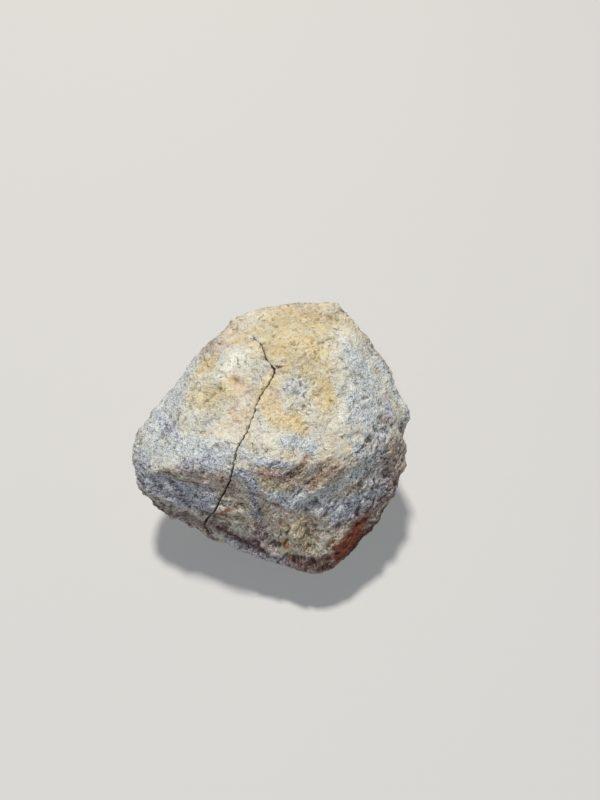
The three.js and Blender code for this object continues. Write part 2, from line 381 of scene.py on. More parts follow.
STROKES: tuple[Stroke, ...] = (
    # right side: knob, notch, the alcove under its overhang and the hollows before it
    Stroke("right knob", ((25.8, 5, 2.8), (26, 2.6, 1.8)), 1.6, 0.5),
    Stroke("right notch", ((25.9, 0.6, -0.8), (25.2, 1, 1.5)), 1.5, -1.8),
    Stroke("right flank", ((22, 11, 5), (25, 7, 2.5)), 3.0, -0.2),
    Stroke("fringe scallop", ((25, -4.2, -3.8),), 1.4, 0.9),
    Stroke("fringe gap", ((25.6, -2.3, -2),), 0.8, -0.3),
    Stroke("crest notch", ((20, 15.2, 7.2),), 1.5, -0.6),
    Stroke("alcove roof", ((19, -1, 5.5), (20, 0.8, 5.8), (21.5, 1.8, 5.3), (23, 1, 4)), 1.3, 0.35,
           (0, 1, 0.5)),
    Stroke("alcove", ((20.5, -0.8, 4.6), (22, 0, 4)), 1.2, -0.3),
    Stroke("scallop", ((13.5, -4.2, 7.7), (15.5, -3.2, 7.5), (17.5, -3.4, 6)), 1.4, 0.35, (0, 1, 0.4)),
    Stroke("scallop floor", ((14.5, -5.2, 6.8), (16.5, -4.8, 6)), 1.1, -0.2),
    Stroke("ridge between", ((18.2, -5, 4.4), (19, -2, 5.8), (18.7, 0.5, 6.8)), 0.9, 0.35),
    Stroke("light ridge", ((14, -8.2, 4.8), (18, -6, 3.8), (21.5, -2.8, 3)), 1.1, 0.35),
    Stroke("dark hollow upper", ((18.8, -7, 1.2),), 1.2, -0.25),
    Stroke("dark hollow lower", ((20.9, -7.3, -1.8),), 1.3, -0.3),
    Stroke("shoulder dent", ((15.5, 7.2, 10.4),), 1.1, -0.35),
    Stroke("shoulder dent high", ((18, 9.9, 8.9),), 1.2, -0.4),
    Stroke("shoulder rib", ((15.5, 13, 10), (15, 9, 10.8), (14, 4.5, 10.5)), 2.2, 0.3),
    Stroke("horn dent", ((21.2, 3.6, 6.2),), 1.2, -0.45),
    # flutes that climb the front from lower left to upper right
    Stroke("flute 1", ((3.9, -10.3, 4.4), (7.2, -7.8, 6.8)), 0.8, -0.4),
    Stroke("flute 2", ((5.5, -12, 2), (10.5, -8.5, 5.8)), 0.8, -0.45),
    Stroke("flute 3", ((8, -13, 0), (12, -10.3, 2.5)), 0.8, -0.4),
    Stroke("flute 4", ((10, -14.2, -2), (13, -12, 0.6), (18.5, -8.2, 0.8)), 0.9, -0.5),
    Stroke("flute 5", ((13, -15, -4), (17, -12.6, -3.6)), 0.9, -0.35),
    Stroke("flute rib", ((6.5, -12.4, 1.2), (12.2, -8.6, 5)), 0.7, 0.35),
    Stroke("upper rib", ((11, -12.8, -0.6), (17, -9, 2.2)), 0.7, 0.35),
    # front, middle: ledge under the brow, vein and buttress
    Stroke("mid ledge", ((0.2, -10.2, 4.4), (1.7, -10.5, 4.2), (3.2, -10.5, 4.2)), 1.0, 0.25, (0, 0.2, 1)),
    Stroke("vein", ((-3.3, -9.1, 5.3), (-2.6, -10.5, 3.5), (-2.1, -11.8, 1.6), (-1.7, -13.3, -0.6),
                    (-1, -15, -3.1)), 0.6, -0.3),
    Stroke("vein valley", ((-1, -14.4, -2.2), (-0.5, -16, -5), (1, -18, -7.5)), 1.8, -0.7),
    Stroke("buttress rib left", ((3.5, -13.5, 0), (4.6, -16, -4), (5, -18.5, -7)), 1.1, 0.8),
    Stroke("buttress groove", ((6.5, -14.2, -1.5), (7, -18, -6.8)), 0.8, -0.6),
    Stroke("buttress rib right", ((8.8, -14.5, -1.8), (9.4, -18.8, -7.8)), 1.2, 0.8),
    Stroke("buttress hole", ((12.1, -15.6, -4.2),), 0.8, -0.6),
    Stroke("chin shelf", ((3, -19.6, -8.8), (8, -20, -9.2), (11, -20, -9.6)), 1.3, 0.3, (0, 0, 1)),
    # front, left: the long shelf, its shade and the undercut beside the keel
    Stroke("left shelf", ((-21, -7.2, -0.2), (-16, -8.4, 1.8), (-12.6, -9.6, 1.4), (-10.5, -10.2, 1.2)),
           1.7, 0.35, (0, 0.3, 1)),
    Stroke("left shelf hollow", ((-17, -9.2, -0.6), (-13, -10.4, -0.4)), 1.4, -0.2),
    Stroke("small ledge", ((-20.8, -9.9, -4.4), (-17.9, -10.9, -4.3)), 1.0, 0.45, (0, 0, 1)),
    Stroke("front shelf", ((-11.6, -12.8, -4), (-8.5, -13.2, -3.4), (-5.5, -13.9, -3.2)), 1.4, 0.6,
           (0, 0, 1)),
    Stroke("shelf knob", ((-5.5, -14.7, -4.3),), 0.8, 0.5),
    Stroke("undercut", ((-8.5, -15.8, -8), (-5.3, -17, -8.7), (-1.9, -17.3, -7.5), (1.2, -18, -7.5)),
           1.4, -0.5),
    Stroke("keel lip", ((-9, -16, -10), (-4, -17.8, -10.6), (1, -19.4, -11)), 1.1, 0.25),
    Stroke("left low hollow", ((-15.5, -11.5, -4.5),), 1.8, -0.5),
    # top: swells, dents and pits of the light crust
    Stroke("left dent", ((-16.8, 1.5, 5.6), (-18.2, 0, 4.8), (-19.8, -1.6, 3.6)), 1.1, -0.8),
    Stroke("left swell", ((-20.5, 0.5, 3.5), (-22, -2.5, 2)), 1.6, 0.35),
    Stroke("grey knob", ((4.2, 3.5, 11),), 0.9, 0.6),
    Stroke("grey knob dent", ((5.4, 2.6, 10.8),), 0.7, -0.5),
    Stroke("pebble", ((5.9, 11.8, 12.5),), 0.5, 0.3),
    Stroke("pit left", ((-5.6, 5.6, 10.3), (-4.6, 5, 10.3)), 0.8, -0.55),
    Stroke("pit far left", ((-14.2, 5.9, 7.7), (-13, 5, 8)), 0.8, -0.5),
    Stroke("pit chain", ((-12.4, 1.6, 7.4), (-11.1, 2.7, 8.1), (-10, 4, 8.9)), 0.45, -0.35),
    Stroke("pit low", ((-6.2, 0.2, 8.4),), 0.8, -0.4),
    Stroke("ochre pit", ((8.8, 2.8, 10.5),), 0.8, -0.4),
    Stroke("crown pit", ((5.6, 5.8, 11.7),), 0.6, -0.25),
    Stroke("ochre bowl", ((3.9, -1.2, 9.4),), 1.5, -0.5),
    Stroke("crest bump", ((-6.8, 20.5, 9.5),), 1.1, 0.6),
    Stroke("left edge bulge", ((-11, 14.5, 7.5), (-13.5, 12, 5.5)), 2.6, 0.7),
    Stroke("crust step", ((-9, 12, 9), (-6.5, 14, 10), (-3, 14.5, 11)), 1.0, 0.3, (0, 1, 0)),
    # back and underside
    Stroke("back hollow", ((-3, 24, 1), (5, 26, 2)), 3.5, -1.1),
    Stroke("back ledge", ((-12, 18, -4), (-2, 23, -6), (6, 24, -8), (14, 20, -9)), 1.8, 0.7, (0, 0, 1)),
    Stroke("back rib", ((12, 27, 4), (12, 25, -6), (8, 18, -14)), 1.6, 0.7),
    Stroke("back step", ((-14, 16, 3), (-10, 20, 4), (-6, 23, 5)), 1.3, 0.5, (0, 0, 1)),
    Stroke("back scar", ((17, 20, 3), (20, 16, 0)), 2.2, -0.6),
    Stroke("heel scar", ((-4, 18, -13), (3, 20, -13)), 2.6, -0.7),
    Stroke("right flank hollow", ((22, 9, 1), (19, 12, -5)), 2.4, -0.9),
    Stroke("left flank ledge", ((-22, 6, -2), (-18, 10, -4), (-13, 15, -3)), 1.5, 0.7, (0, 0, 1)),
    Stroke("belly hollow", ((14, -10, -14), (18, -4, -13)), 2.6, -0.8),
    Stroke("belly rib", ((-14, -5, -14), (-9, -11, -14)), 1.6, 0.6),
)

STAINS: tuple[Stain, ...] = (
    # the light crust on top
    *stains(Tone.OCHRE,
        (6.0, 0.9, (2, 20, 11), (10, 20, 11)),
        (4.0, 1.0, (1, 12, 12.3), (8, 11, 12.3)),
        (2.6, 0.9, (4, 7.5, 12.2), (9, 5, 11.2), (10.5, 1, 10)),
        (2.2, 1.0, (0, 5, 11.2), (-0.5, 2, 10.1), (1, -1, 9.3), (4.5, -2.5, 8.8)),
        (2.8, 0.85, (-6, 5, 10.2), (-10, 3, 8.8), (-14, 4, 7.5)),
        (2.0, 0.7, (-11, 10, 9), (-13.5, 9, 7.5)),
        (2.0, 0.4, (-4, -1, 8.6), (-7, -1.5, 7.8)),
        (1.1, 0.9, (-16.2, -5.4, 3.9), (-15.6, -6.4, 3.6))),
    *stains(Tone.GOLD,
        (1.1, 0.85, (-6.5, 14, 10.5), (-2.5, 16, 11)),
        (1.5, 0.55, (1.5, 10, 12.3), (5, 11.5, 12.5), (8, 14, 12)),
        (1.0, 0.95, (9.9, 4, 10.7), (10.8, 2.4, 10.2), (10.9, 0.9, 9.7)),
        (1.5, 0.6, (4, -0.5, 9.4), (5.6, -1.9, 8.9), (5.8, -3.8, 8.3)),
        (1.1, 0.7, (-11.5, 11, 8.7), (-10, 8.5, 9.8)),
        (1.0, 0.7, (-6.5, 6, 10.3)),
        (0.9, 0.7, (3.3, -7.2, 7.2), (3.9, -8, 6.9)),
        (0.9, 0.9, (19.1, 9.7, 7.6))),
    *stains(Tone.CHALK,
        (1.3, 0.7, (-16, -5.2, 4), (-15.4, -6.6, 3.5)),
        (1.2, 0.6, (21, 9.5, 5.5), (25, 5, 3.5)),
        (1.7, 1.0, (-7.5, 8.5, 10.7), (-5.5, 10.5, 11.2), (-4.5, 8, 11.3)),
        (2.2, 0.4, (-1, -2.7, 8.5), (-2, -5, 7.5), (3, -5, 8)),
        (1.8, 0.6, (11.5, -2, 8.8), (13.3, 1.7, 9.8), (14.3, 5.3, 10.6)),
        (1.2, 0.9, (20.8, 7, 7)),
        (2.2, 0.5, (-20, -4, 2.5), (-15, -3, 5)),
        (1.2, 0.8, (4, 3.9, 11.2), (5.5, 3.3, 11)),
        (1.6, 0.5, (-15.5, 3, 6), (-13, 0.5, 6.8)),
        (2.5, 0.7, (13, 16, 10.5), (14.5, 11, 10.8)),
        (2.0, 0.6, (18, 3.5, 7.8))),
    *stains(Tone.BLUSH,
        (1.8, 0.7, (-6, 5.5, 10.3), (-4, 4, 10.2)),
        (1.6, 0.6, (-6, 0.5, 8.7), (-5, -2, 7.9)),
        (1.6, 0.5, (1, 3, 10.4), (1, 0, 9.6)),
        (2.0, 0.5, (-9, 14, 9.5), (-7, 16, 10)),
        (0.8, 0.9, (18.1, 11.4, 8.4), (18.9, 10.5, 7.9))),
    *stains(Tone.FROST,
        (1.7, 0.9, (19, 14.5, 7.5), (22, 9.5, 5), (25, 6, 3.5)),
        (1.8, 0.9, (25.2, 5.5, 2.8), (25.8, 2, 1)),
        (1.5, 0.75, (3.9, 3.7, 11.3), (5.1, 4, 11.2)),
        (1.7, 0.3, (5.6, 2.2, 10.5), (7.5, -0.1, 9.4)),
        (1.4, 0.4, (5, 6.3, 11.8), (6.6, 4.5, 11.2)),
        (1.1, 0.5, (-1.1, 7.8, 11.7), (-1.4, 6, 10.9), (-1.9, 4.6, 10.3)),
        (1.6, 0.95, (3.9, -5.7, 8.1), (7.7, -6.1, 7.5)),
        (3.8, 0.95, (-20, 0, 3.5), (-17, 5, 5)),
        (1.8, 0.9, (-24.5, 1, 0), (-22, 5, 1.5), (-18.5, 10, 2.5), (-15, 14, 4)),
        (2.2, 0.7, (-16, 9, 5.5), (-13, 14, 6)),
        (2.8, 1.0, (-19, -4, 3.4), (-13.5, -5, 5), (-8, -6.8, 5.4)),
        (4.2, 0.9, (16, 11, 10.3), (18, 8, 9), (17.5, 2, 8), (19, -1, 6)),
        (1.3, 0.8, (14.3, 2, 9.2), (14.6, -0.5, 8.6)),
        (1.6, 0.9, (15.5, -6.1, 6.1), (17.3, -6.4, 4.7)),
        (1.0, 0.8, (18.5, -5.4, 3))),
    *stains(Tone.UMBER,
        (3.0, 0.45, (4, 21, 10.2), (11, 20, 10.2)),
        (3.0, 0.2, (2, 15, 11.6), (8, 14, 12)),
        (1.6, 0.3, (-3.5, 12.6, 11.3), (-5.4, 14.2, 10.7))),
    *stains(Tone.SLATE,
        (0.9, 0.9, (-17.5, -1.5, 4.2), (-16.2, -1.9, 4.6)),
        (1.0, 0.5, (13.8, -1.6, 8.6)),
        (1.15, 0.95, (-20.6, 1.6, 3.8), (-19.3, 0.3, 4), (-17.2, -1.4, 4.1)),
        # this row is slate-grey stone and also painted shade under the scallop's rim
        (0.6, 0.5, (13.2, -4.9, 7.4), (14.4, -3.8, 7.7), (16.3, -3.6, 6.7), (18.2, -3.6, 4.7)),
        (1.3, 0.8, (21, 3.4, 5.5), (22.5, 2, 4.3)),
        (1.3, 0.6, (21, -1, 4), (20.5, -4.2, 3.4), (19.5, -7, 0.8)),
        (1.3, 0.5, (15.5, -6.1, 6.1), (17.3, -6.4, 4.7)),
        (1.3, 0.35, (16, 1, 8.5), (18.5, -1, 6.5))),
    # the front belt, left of the crack
    *stains(Tone.SLATE,
        (1.4, 0.8, (-14.2, -7.4, 3.4), (-9.1, -7.7, 4.8)),
        (1.6, 0.35, (-11, -6, 5), (-8, -6.3, 5.5)),
        (2.5, 1.0, (-22, -8, -2), (-16.6, -10, -1.8), (-11.1, -11.7, -1.3)),
        (2.0, 0.9, (-18.6, -11, -3.5), (-12.1, -12.7, -3.1)),
        (1.9, 0.8, (-24.3, -5.9, -1.9), (-22.4, -9, -3.6)),
        (1.4, 0.8, (-23.3, -6.3, -1.2), (-22.2, -5.8, 0.3))),
    *stains(Tone.FROST,
        (1.2, 0.5, (-15.5, -11, -1.5), (-13, -11.5, -1.8)),
        (0.7, 0.9, (-19.7, -10.3, -3.8), (-16.5, -11.3, -4.3), (-13.3, -12, -4.3), (-10.6, -13.1, -2.7)),
        (1.2, 0.75, (-20, -8.1, -0.6), (-17.5, -8.9, -0.8), (-15, -9.7, -0.8)),
        (1.6, 0.9, (-24.5, -2, -0.5), (-22.5, -4, 1.2))),
    *stains(Tone.CHALK,
        (0.7, 0.8, (-21.1, -7, 0.3), (-19, -7.1, 1.9), (-17.1, -6.8, 3)),
        (0.6, 0.5, (-19.5, -8.3, -0.6), (-15.5, -9.6, -0.7))),
    # violet-brown stone above, painted shade with a painted red reflection on the two lower rows
    *stains(Tone.MAUVE_AND_PAINTED_SHADE,
        (0.8, 0.7, (-15.9, -7.7, 3.3), (-14.1, -8.9, 2.7), (-11.7, -9.6, 2.4)),
        (1.0, 0.85, (-16.4, -12.4, -6.5), (-13.2, -13.4, -6.8), (-11, -14.8, -8.2)),
        (1.3, 0.9, (-21.6, -10.2, -7), (-18, -12.6, -8.2), (-14.4, -13.8, -10), (-10.7, -15.8, -10.5))),
    *stains(Tone.BLUSH,
        (1.1, 0.95, (-11.7, -10, 2), (-8.3, -9.9, 3.2))),
    # painted shade with a painted red reflection along the lower left edge
    *stains(Tone.PAINTED_RED_SHADE,
        (1.1, 0.55, (-19.5, -11.4, -6.4), (-16, -12.4, -6.4), (-13.5, -13.4, -6.8), (-11, -14.5, -7))),
    # the front belt, from the crack to the vein
    *stains(Tone.UMBER,
        (1.3, 0.65, (-7.8, -10.1, 2.7), (-6.6, -10.3, 1.2), (-4.5, -11.9, 0.5))),
    *stains(Tone.BLUSH,
        (0.8, 0.8, (-8.1, -11.7, -1), (-6.6, -12.2, -0.4))),
    *stains(Tone.CHALK,
        (0.9, 0.8, (-9.1, -12.7, -2), (-6.1, -13.1, -1.5)),
        (1.0, 0.5, (-5.7, -14.7, -3.9), (-4.2, -15.3, -5.2), (-2.9, -14.7, -3.9))),
    *stains(Tone.RUST,
        (0.55, 0.75, (-9.2, -13.3, -4.2), (-7.4, -14, -2.4), (-5.2, -13.9, -1.8))),
    # violet-brown stone that low on the front is partly painted shade with a painted red reflection
    *stains(Tone.MAUVE_AND_PAINTED_SHADE,
        (1.0, 0.8, (-10.1, -14, -6.1), (-7.5, -14.3, -5.8)),
        (1.2, 0.65, (-2.3, -12.1, 1), (-1.7, -14, -3.4), (-1.2, -16, -5.8))),
    *stains(Tone.SLATE,
        (0.9, 1.0, (-5.9, -9.3, 4.3), (-3.4, -10.1, 4.2), (-2.6, -10.7, 3.4), (-2.3, -12.1, 1),
         (-1.8, -13.5, -2.5))),
    # the brow, the brown band under it and its streaks
    *stains(Tone.FROST,
        (1.2, 0.7, (-4, -7.2, 6.3), (-0.3, -8.6, 6.5), (3.5, -9.1, 6))),
    *stains(Tone.SLATE,
        (0.7, 0.7, (-4, -7.4, 6.2), (-0.5, -8.7, 6.4), (3, -9.1, 6))),
    *stains(Tone.UMBER,
        (0.9, 0.85, (-1.5, -9.6, 4.9), (3, -10, 4.9)),
        (1.0, 0.85, (3.4, -10.9, 4.3), (4.9, -9.1, 4.8), (6.8, -7.7, 6.4)),
        (1.0, 0.9, (7.3, -11.3, 2.8), (10.7, -9.7, 4.9), (12, -9.4, 5.1)),
        (0.8, 0.6, (13.4, -11, 1.4), (15.1, -10, 1.6), (17.6, -7.6, 0.8))),
    *stains(Tone.OCHRE,
        (1.3, 0.95, (-0.3, -10.7, 4), (1.3, -11.6, 2.5), (3.1, -11.3, 3.7))),
    *stains(Tone.GOLD,
        (0.7, 0.6, (0.5, -11.3, 3), (3.5, -11.5, 3)),
        (0.8, 0.6, (8.2, -10.9, 3.2), (10.2, -10, 4.5))),
    *stains(Tone.MAUVE_AND_PAINTED_SHADE,
        (0.6, 1.0, (1.6, -10.6, 4.9), (3.1, -10.4, 4.8))),
    *stains(Tone.BLUSH,
        (2.2, 0.4, (5, -10.5, 4.5), (12, -10.5, 3), (17, -8, 2))),
    # the frosted belt and the buttress under it
    *stains(Tone.FROST,
        (1.7, 1.0, (1, -13, 0.9), (5.6, -11.9, 1.6), (11.4, -13.2, -0.8)),
        # this row is frost-grey stone and also painted light on a strip of the belt that lies in shade
        (1.3, 0.8, (7, -12.7, 0.8), (10, -11.7, 1.2), (14, -9.5, 2.8), (17.5, -7, 2.8))),
    *stains(Tone.SLATE,
        (1.3, 0.6, (3.1, -13, 0.4), (8.7, -13.2, -0.6), (13, -13.2, -1.5)),
        (1.7, 0.9, (-7, -17, -9.6), (-4, -18, -10), (-1, -19.2, -10.8), (2, -19.9, -11))),
    *stains(Tone.CHALK,
        (1.1, 0.6, (2.5, -12.7, 1.2), (8.7, -12.5, 0.4)),
        # this chalk row also paints light on the same shaded strip of the belt
        (0.9, 0.6, (7, -12.7, 0.8), (10, -11.7, 1.2), (14, -9.5, 2.8), (17.5, -7, 2.8)),
        (0.9, 0.4, (9.3, -19.5, -7.5), (10.6, -18.6, -7.8))),
    *stains(Tone.UMBER,
        (0.6, 0.9, (-0.6, -13, 0.2), (2.1, -13.6, -0.4)),
        (0.9, 0.95, (2.1, -16, -3.9), (3.6, -15.1, -1.6), (5.1, -14.2, -0.7)),
        (0.9, 0.9, (7.4, -16.2, -4.9), (8.4, -15.7, -2.6), (9.6, -14.8, -1.9)),
        (1.6, 0.8, (5.5, -20.5, -10.6), (8, -21, -10.4), (11, -20.6, -10.2))),
    *stains(Tone.OCHRE,
        (1.5, 0.7, (3.5, -16.5, -4.1), (6.4, -17.4, -6.7), (5.6, -15.5, -2.9))),
    *stains(Tone.BLUSH,
        (1.6, 0.6, (9, -17, -5.5), (12, -16, -4.5))),
    *stains(Tone.GOLD,
        (1.1, 1.0, (3, -18.3, -7), (3.2, -18.4, -7.8))),
    *stains(Tone.RUST,
        (0.9, 0.75, (3.1, -18.4, -7.4)),
        (0.7, 0.8, (3.4, -19.4, -9.4), (5.6, -20.4, -9.9)),
        (0.8, 0.8, (7.6, -20.4, -9.6), (10.2, -20.2, -9.3))),
    # painted shade with a painted red reflection along the keel and the chin
    *stains(Tone.PAINTED_RED_SHADE,
        (1.0, 0.95, (-8.5, -15, -7.2), (-5, -16.4, -8), (-3.4, -16.9, -8.2), (-0.6, -17.8, -8.5)),
        (1.1, 0.7, (3.5, -20.2, -10.6), (7.4, -21.2, -10.8), (11, -20.6, -10.6)),
        (0.7, 0.6, (3.8, -19.1, -8.7), (6.7, -19.8, -9.1), (9.4, -20.1, -8.8), (11.7, -20.2, -9.8))),
    # under the keel and chin: violet-brown stone and painted shade with a painted red reflection
    *stains(Tone.MAUVE_AND_PAINTED_SHADE,
        (1.6, 0.75, (-9, -14.8, -7), (-4, -16.2, -7.2), (0.5, -17.4, -7.8)),
        (1.6, 0.6, (-5.5, -17.8, -9.6), (-1, -19.2, -10.6), (2, -20, -10.8)),
        (1.8, 0.5, (3.5, -20, -11), (7.4, -21, -10.8), (11, -20.6, -10.6)),
        (1.1, 0.7, (5, -19.6, -9.2), (7.5, -19.9, -9.3)),
        (1.2, 0.7, (-3, -15.6, -5), (-1.2, -16.2, -5.9))),
    # right end
    *stains(Tone.SLATE,
        (2.1, 0.95, (12.5, -14.7, -2.8), (17, -12.2, -2.6), (20, -9, -2.5))),
    # violet-brown stone at the right end; on its lower rows also painted shade with a painted red reflection
    *stains(Tone.MAUVE_AND_PAINTED_SHADE,
        (1.6, 0.95, (16.3, -13.1, -4.1), (19.8, -10.4, -4.9), (22, -8, -5)),
        (1.2, 0.6, (20.6, -3.9, 3.7), (21.3, -4.7, 1.7), (21.9, -5.4, -0.8), (21.6, -7.1, -2.8)),
        (0.55, 0.95, (20.2, -1.4, 4.1), (21, 0.2, 4.6), (22.1, 1.3, 4.9), (23.5, 1.4, 3.7)),
        (1.4, 0.55, (23.2, -1.5, 1.5), (23.4, -3.5, -1), (21, -7.4, -2)),
        (1.3, 0.6, (23.7, -6, -3.9), (23, -8.3, -5.2)),
        (1.0, 0.35, (16, -9.5, 1), (19, -7, 1), (20.5, -4.5, 2))),
    *stains(Tone.BLUSH,
        (1.4, 0.9, (22.9, -3.2, 0.9), (22.9, -5, -1.2), (22.3, -6.2, -2.6)),
        (0.8, 0.9, (21, -0.2, 4.4), (22.1, 0.6, 4.8)),
        (1.5, 0.8, (23.7, -6, -3.7), (23, -8, -5))),
    *stains(Tone.GOLD,
        (0.9, 0.9, (12.2, -18.6, -7.4), (13.3, -17.4, -6.7))),
    *stains(Tone.RUST,
        (1.6, 1.0, (12.8, -18.9, -8.2), (14.2, -17.4, -7.2), (15.7, -15.5, -6.4), (17.5, -13.6, -5.8)),
        (1.7, 1.0, (12.3, -19.6, -9.6), (15.1, -17.6, -8.8), (16.7, -15.7, -7.8))),
    # painted shade with a painted red reflection along the lower right rim
    *stains(Tone.PAINTED_RED_SHADE,
        (1.2, 1.0, (13.6, -19.4, -11), (16, -17.2, -9.9), (18, -14.8, -8.6), (21, -11.5, -7.4))),
    *stains(Tone.FROST,
        # these two rows are frost-grey stone and also painted light on faces by the right flutes that lie in
        # shade
        (1.4, 0.9, (14.3, -9, 3.6), (16.5, -8.8, 2), (18, -9, 0)),
        (1.2, 0.9, (14.5, -12.6, -1), (17.2, -11, -1.5))),
    # back, sides and underside
    *stains(Tone.SLATE,
        (3.6, 0.8, (-12, 16, -6), (-4, 20, -6)),
        (3.0, 0.6, (14, -6, -13), (14, 8, -13))),
    *stains(Tone.OCHRE,
        (3.4, 0.85, (0, 24, 5), (8, 25, 4)),
        (3.5, 0.6, (-14, 2, -13), (-8, 12, -13))),
    *stains(Tone.CHALK,
        (1.8, 0.8, (-10, 19, 5), (-4, 22.5, 6)),
        (2.4, 0.6, (-16, 10, 0), (-12, 15, 2))),
    *stains(Tone.BLUSH,
        (2.6, 0.8, (10, 26, -2), (16, 22, -4))),
    *stains(Tone.FROST,
        (2.8, 0.8, (-3, 22, 0), (4, 25, -3)),
        (3.4, 0.8, (18, 14, 0), (22, 8, -2))),
    *stains(Tone.RUST,
        (1.0, 0.6, (16, 22, 4), (18, 19, 1))),
    *stains(Tone.UMBER,
        (4.0, 0.8, (4, 21, -8), (14, 17, -8)),
        (3.0, 0.7, (-20, 4, -5), (-16, 8, -8)),
        (6.0, 0.7, (0, 0, -20), (8, 4, -18), (-6, 6, -18))),
    # the lower row, under the front, is painted shade with a painted red reflection
    *stains(Tone.MAUVE_AND_PAINTED_SHADE,
        (2.6, 0.7, (24, 3, -6), (20, 8, -9)),
        (3.5, 0.9, (-10, -10, -14), (4, -14, -15.5))),
)


# ---- the rounded hull ---------------------------------------------------------------------------

CORNERS: dict[str, Point] = {
    "back left crest": (-7.3, 22, 9.5),
    "back crest": (1.5, 25.1, 10),
    "back right crest": (13, 25.5, 9.5),
    "right crest": (17.2, 22, 8.9),
    "right shoulder": (19.3, 16.6, 7.9),
    "right horn high": (26, 5.8, 3.4),
    "right horn": (26.3, 3, 2.2),
    "right brow": (15, -7, 7),
    "brow": (1, -9, 7),
    "left brow": (-18.5, -8, 2.5),
    "left horn": (-26.2, -1, 0.4),
    "left heel": (-25.5, -9, -5.5),
    "left toe": (-20, -12.3, -8.8),
    "left keel": (-9, -16, -10.5),
    "chin left": (4.6, -22.3, -12.6),
    "chin right": (11.4, -22.3, -12.2),
    "right keel": (20, -14.5, -9),
    "right heel": (26, -4.5, -4.5),
    "crown": (4, 10, 13.5),
    "crown left": (-10, 8, 10.5),
    "crown right": (14, 8, 12),
    "hip back left": (-19, 12, -1.5),
    "back bulge left": (-8.5, 24, 1),
    "back bulge right": (11, 28, 1.5),
    "back low left": (-8, 21.5, -8),
    "back low right": (11, 25, -8),
    "hip back right": (24.5, 12.5, -2.5),
    "belly front": (12, -13, -16.5),
    "belly front left": (-10, -9.5, -16.5),
    "belly left": (-18, 3, -12.5),
    "belly back left": (-9.5, 15, -15),
    "belly back right": (13, 18, -14.5),
    "belly right": (20.5, 3, -13.5),
    "seat front": (4, -5, -21.8),
    "seat front left": (-4.5, -2.5, -21.8),
    "seat left": (-6.5, 3.5, -21.3),
    "seat back left": (-2.5, 9.5, -21.8),
    "seat back right": (7.5, 10, -21.3),
    "seat right": (10, 3, -21.8),
}


@dataclass
class Block:
    """The rough block: the convex hull of named corners, with rounded edges.

    Attributes:
        corners: Corner name to place, in millimetres from the stone's centre.
        edge_hardness: Power of the mean that rounds the edges; higher is sharper.
        seat_depth: Height of the centre above the flat spot, in millimetres.
        slack: How far a corner may seem to pass a face, in millimetres.
        nearest_face: Planes nearer to the centre than this are no faces, in millimetres.
    """

    corners: dict[str, Point] = field(default_factory=lambda: dict(CORNERS))
    edge_hardness: float = 34.0
    seat_depth: float = 20.0
    slack: float = 1e-6
    nearest_face: float = 1.0

    def __post_init__(self) -> None:
        """Finds the hull's planes: those through three corners that leave no corner outside."""
        corners = np.array(list(self.corners.values()), float)
        triples = np.array(list(itertools.combinations(range(len(corners)), 3)))
        first, second, third = (corners[triples[:, k]] for k in range(3))
        normals = np.cross(second - first, third - first)
        size = np.linalg.norm(normals, axis=1)
        sound = size > self.slack
        normals, first = normals[sound] / size[sound, None], first[sound]
        reach = (normals * first).sum(axis=1)
        normals, reach = normals * np.sign(reach)[:, None], np.abs(reach)
        farthest = (normals @ corners.T - reach[:, None]).max(axis=1)
        is_face = (farthest < self.slack) & (reach > self.nearest_face)
        self.normals, self.reach = normals[is_face], reach[is_face]

    def radius(self, directions: np.ndarray) -> np.ndarray:
        """Distance from the centre to the rounded hull.

        Formula: for unit direction d, the sum over the planes of max(0, n.d / h)^p, to the power
        -1/p, where n is a plane's normal, h its distance and p the edge hardness.

        Args:
            directions: Unit directions, shape (n, 3).

        Returns:
            Distances in millimetres, shape (n,).
        """
        shares = np.maximum(directions @ self.normals.T, 0) / self.reach
        return (shares**self.edge_hardness).sum(axis=1) ** (-1 / self.edge_hardness)

    def onto(self, points: tuple[Point, ...]) -> np.ndarray:
        """Points moved along their own directions onto the rounded hull."""
        place = np.array(points, float)
        directions = place / np.linalg.norm(place, axis=1, keepdims=True)
        return directions * self.radius(directions)[:, None]


# ---- the crack ----------------------------------------------------------------------------------

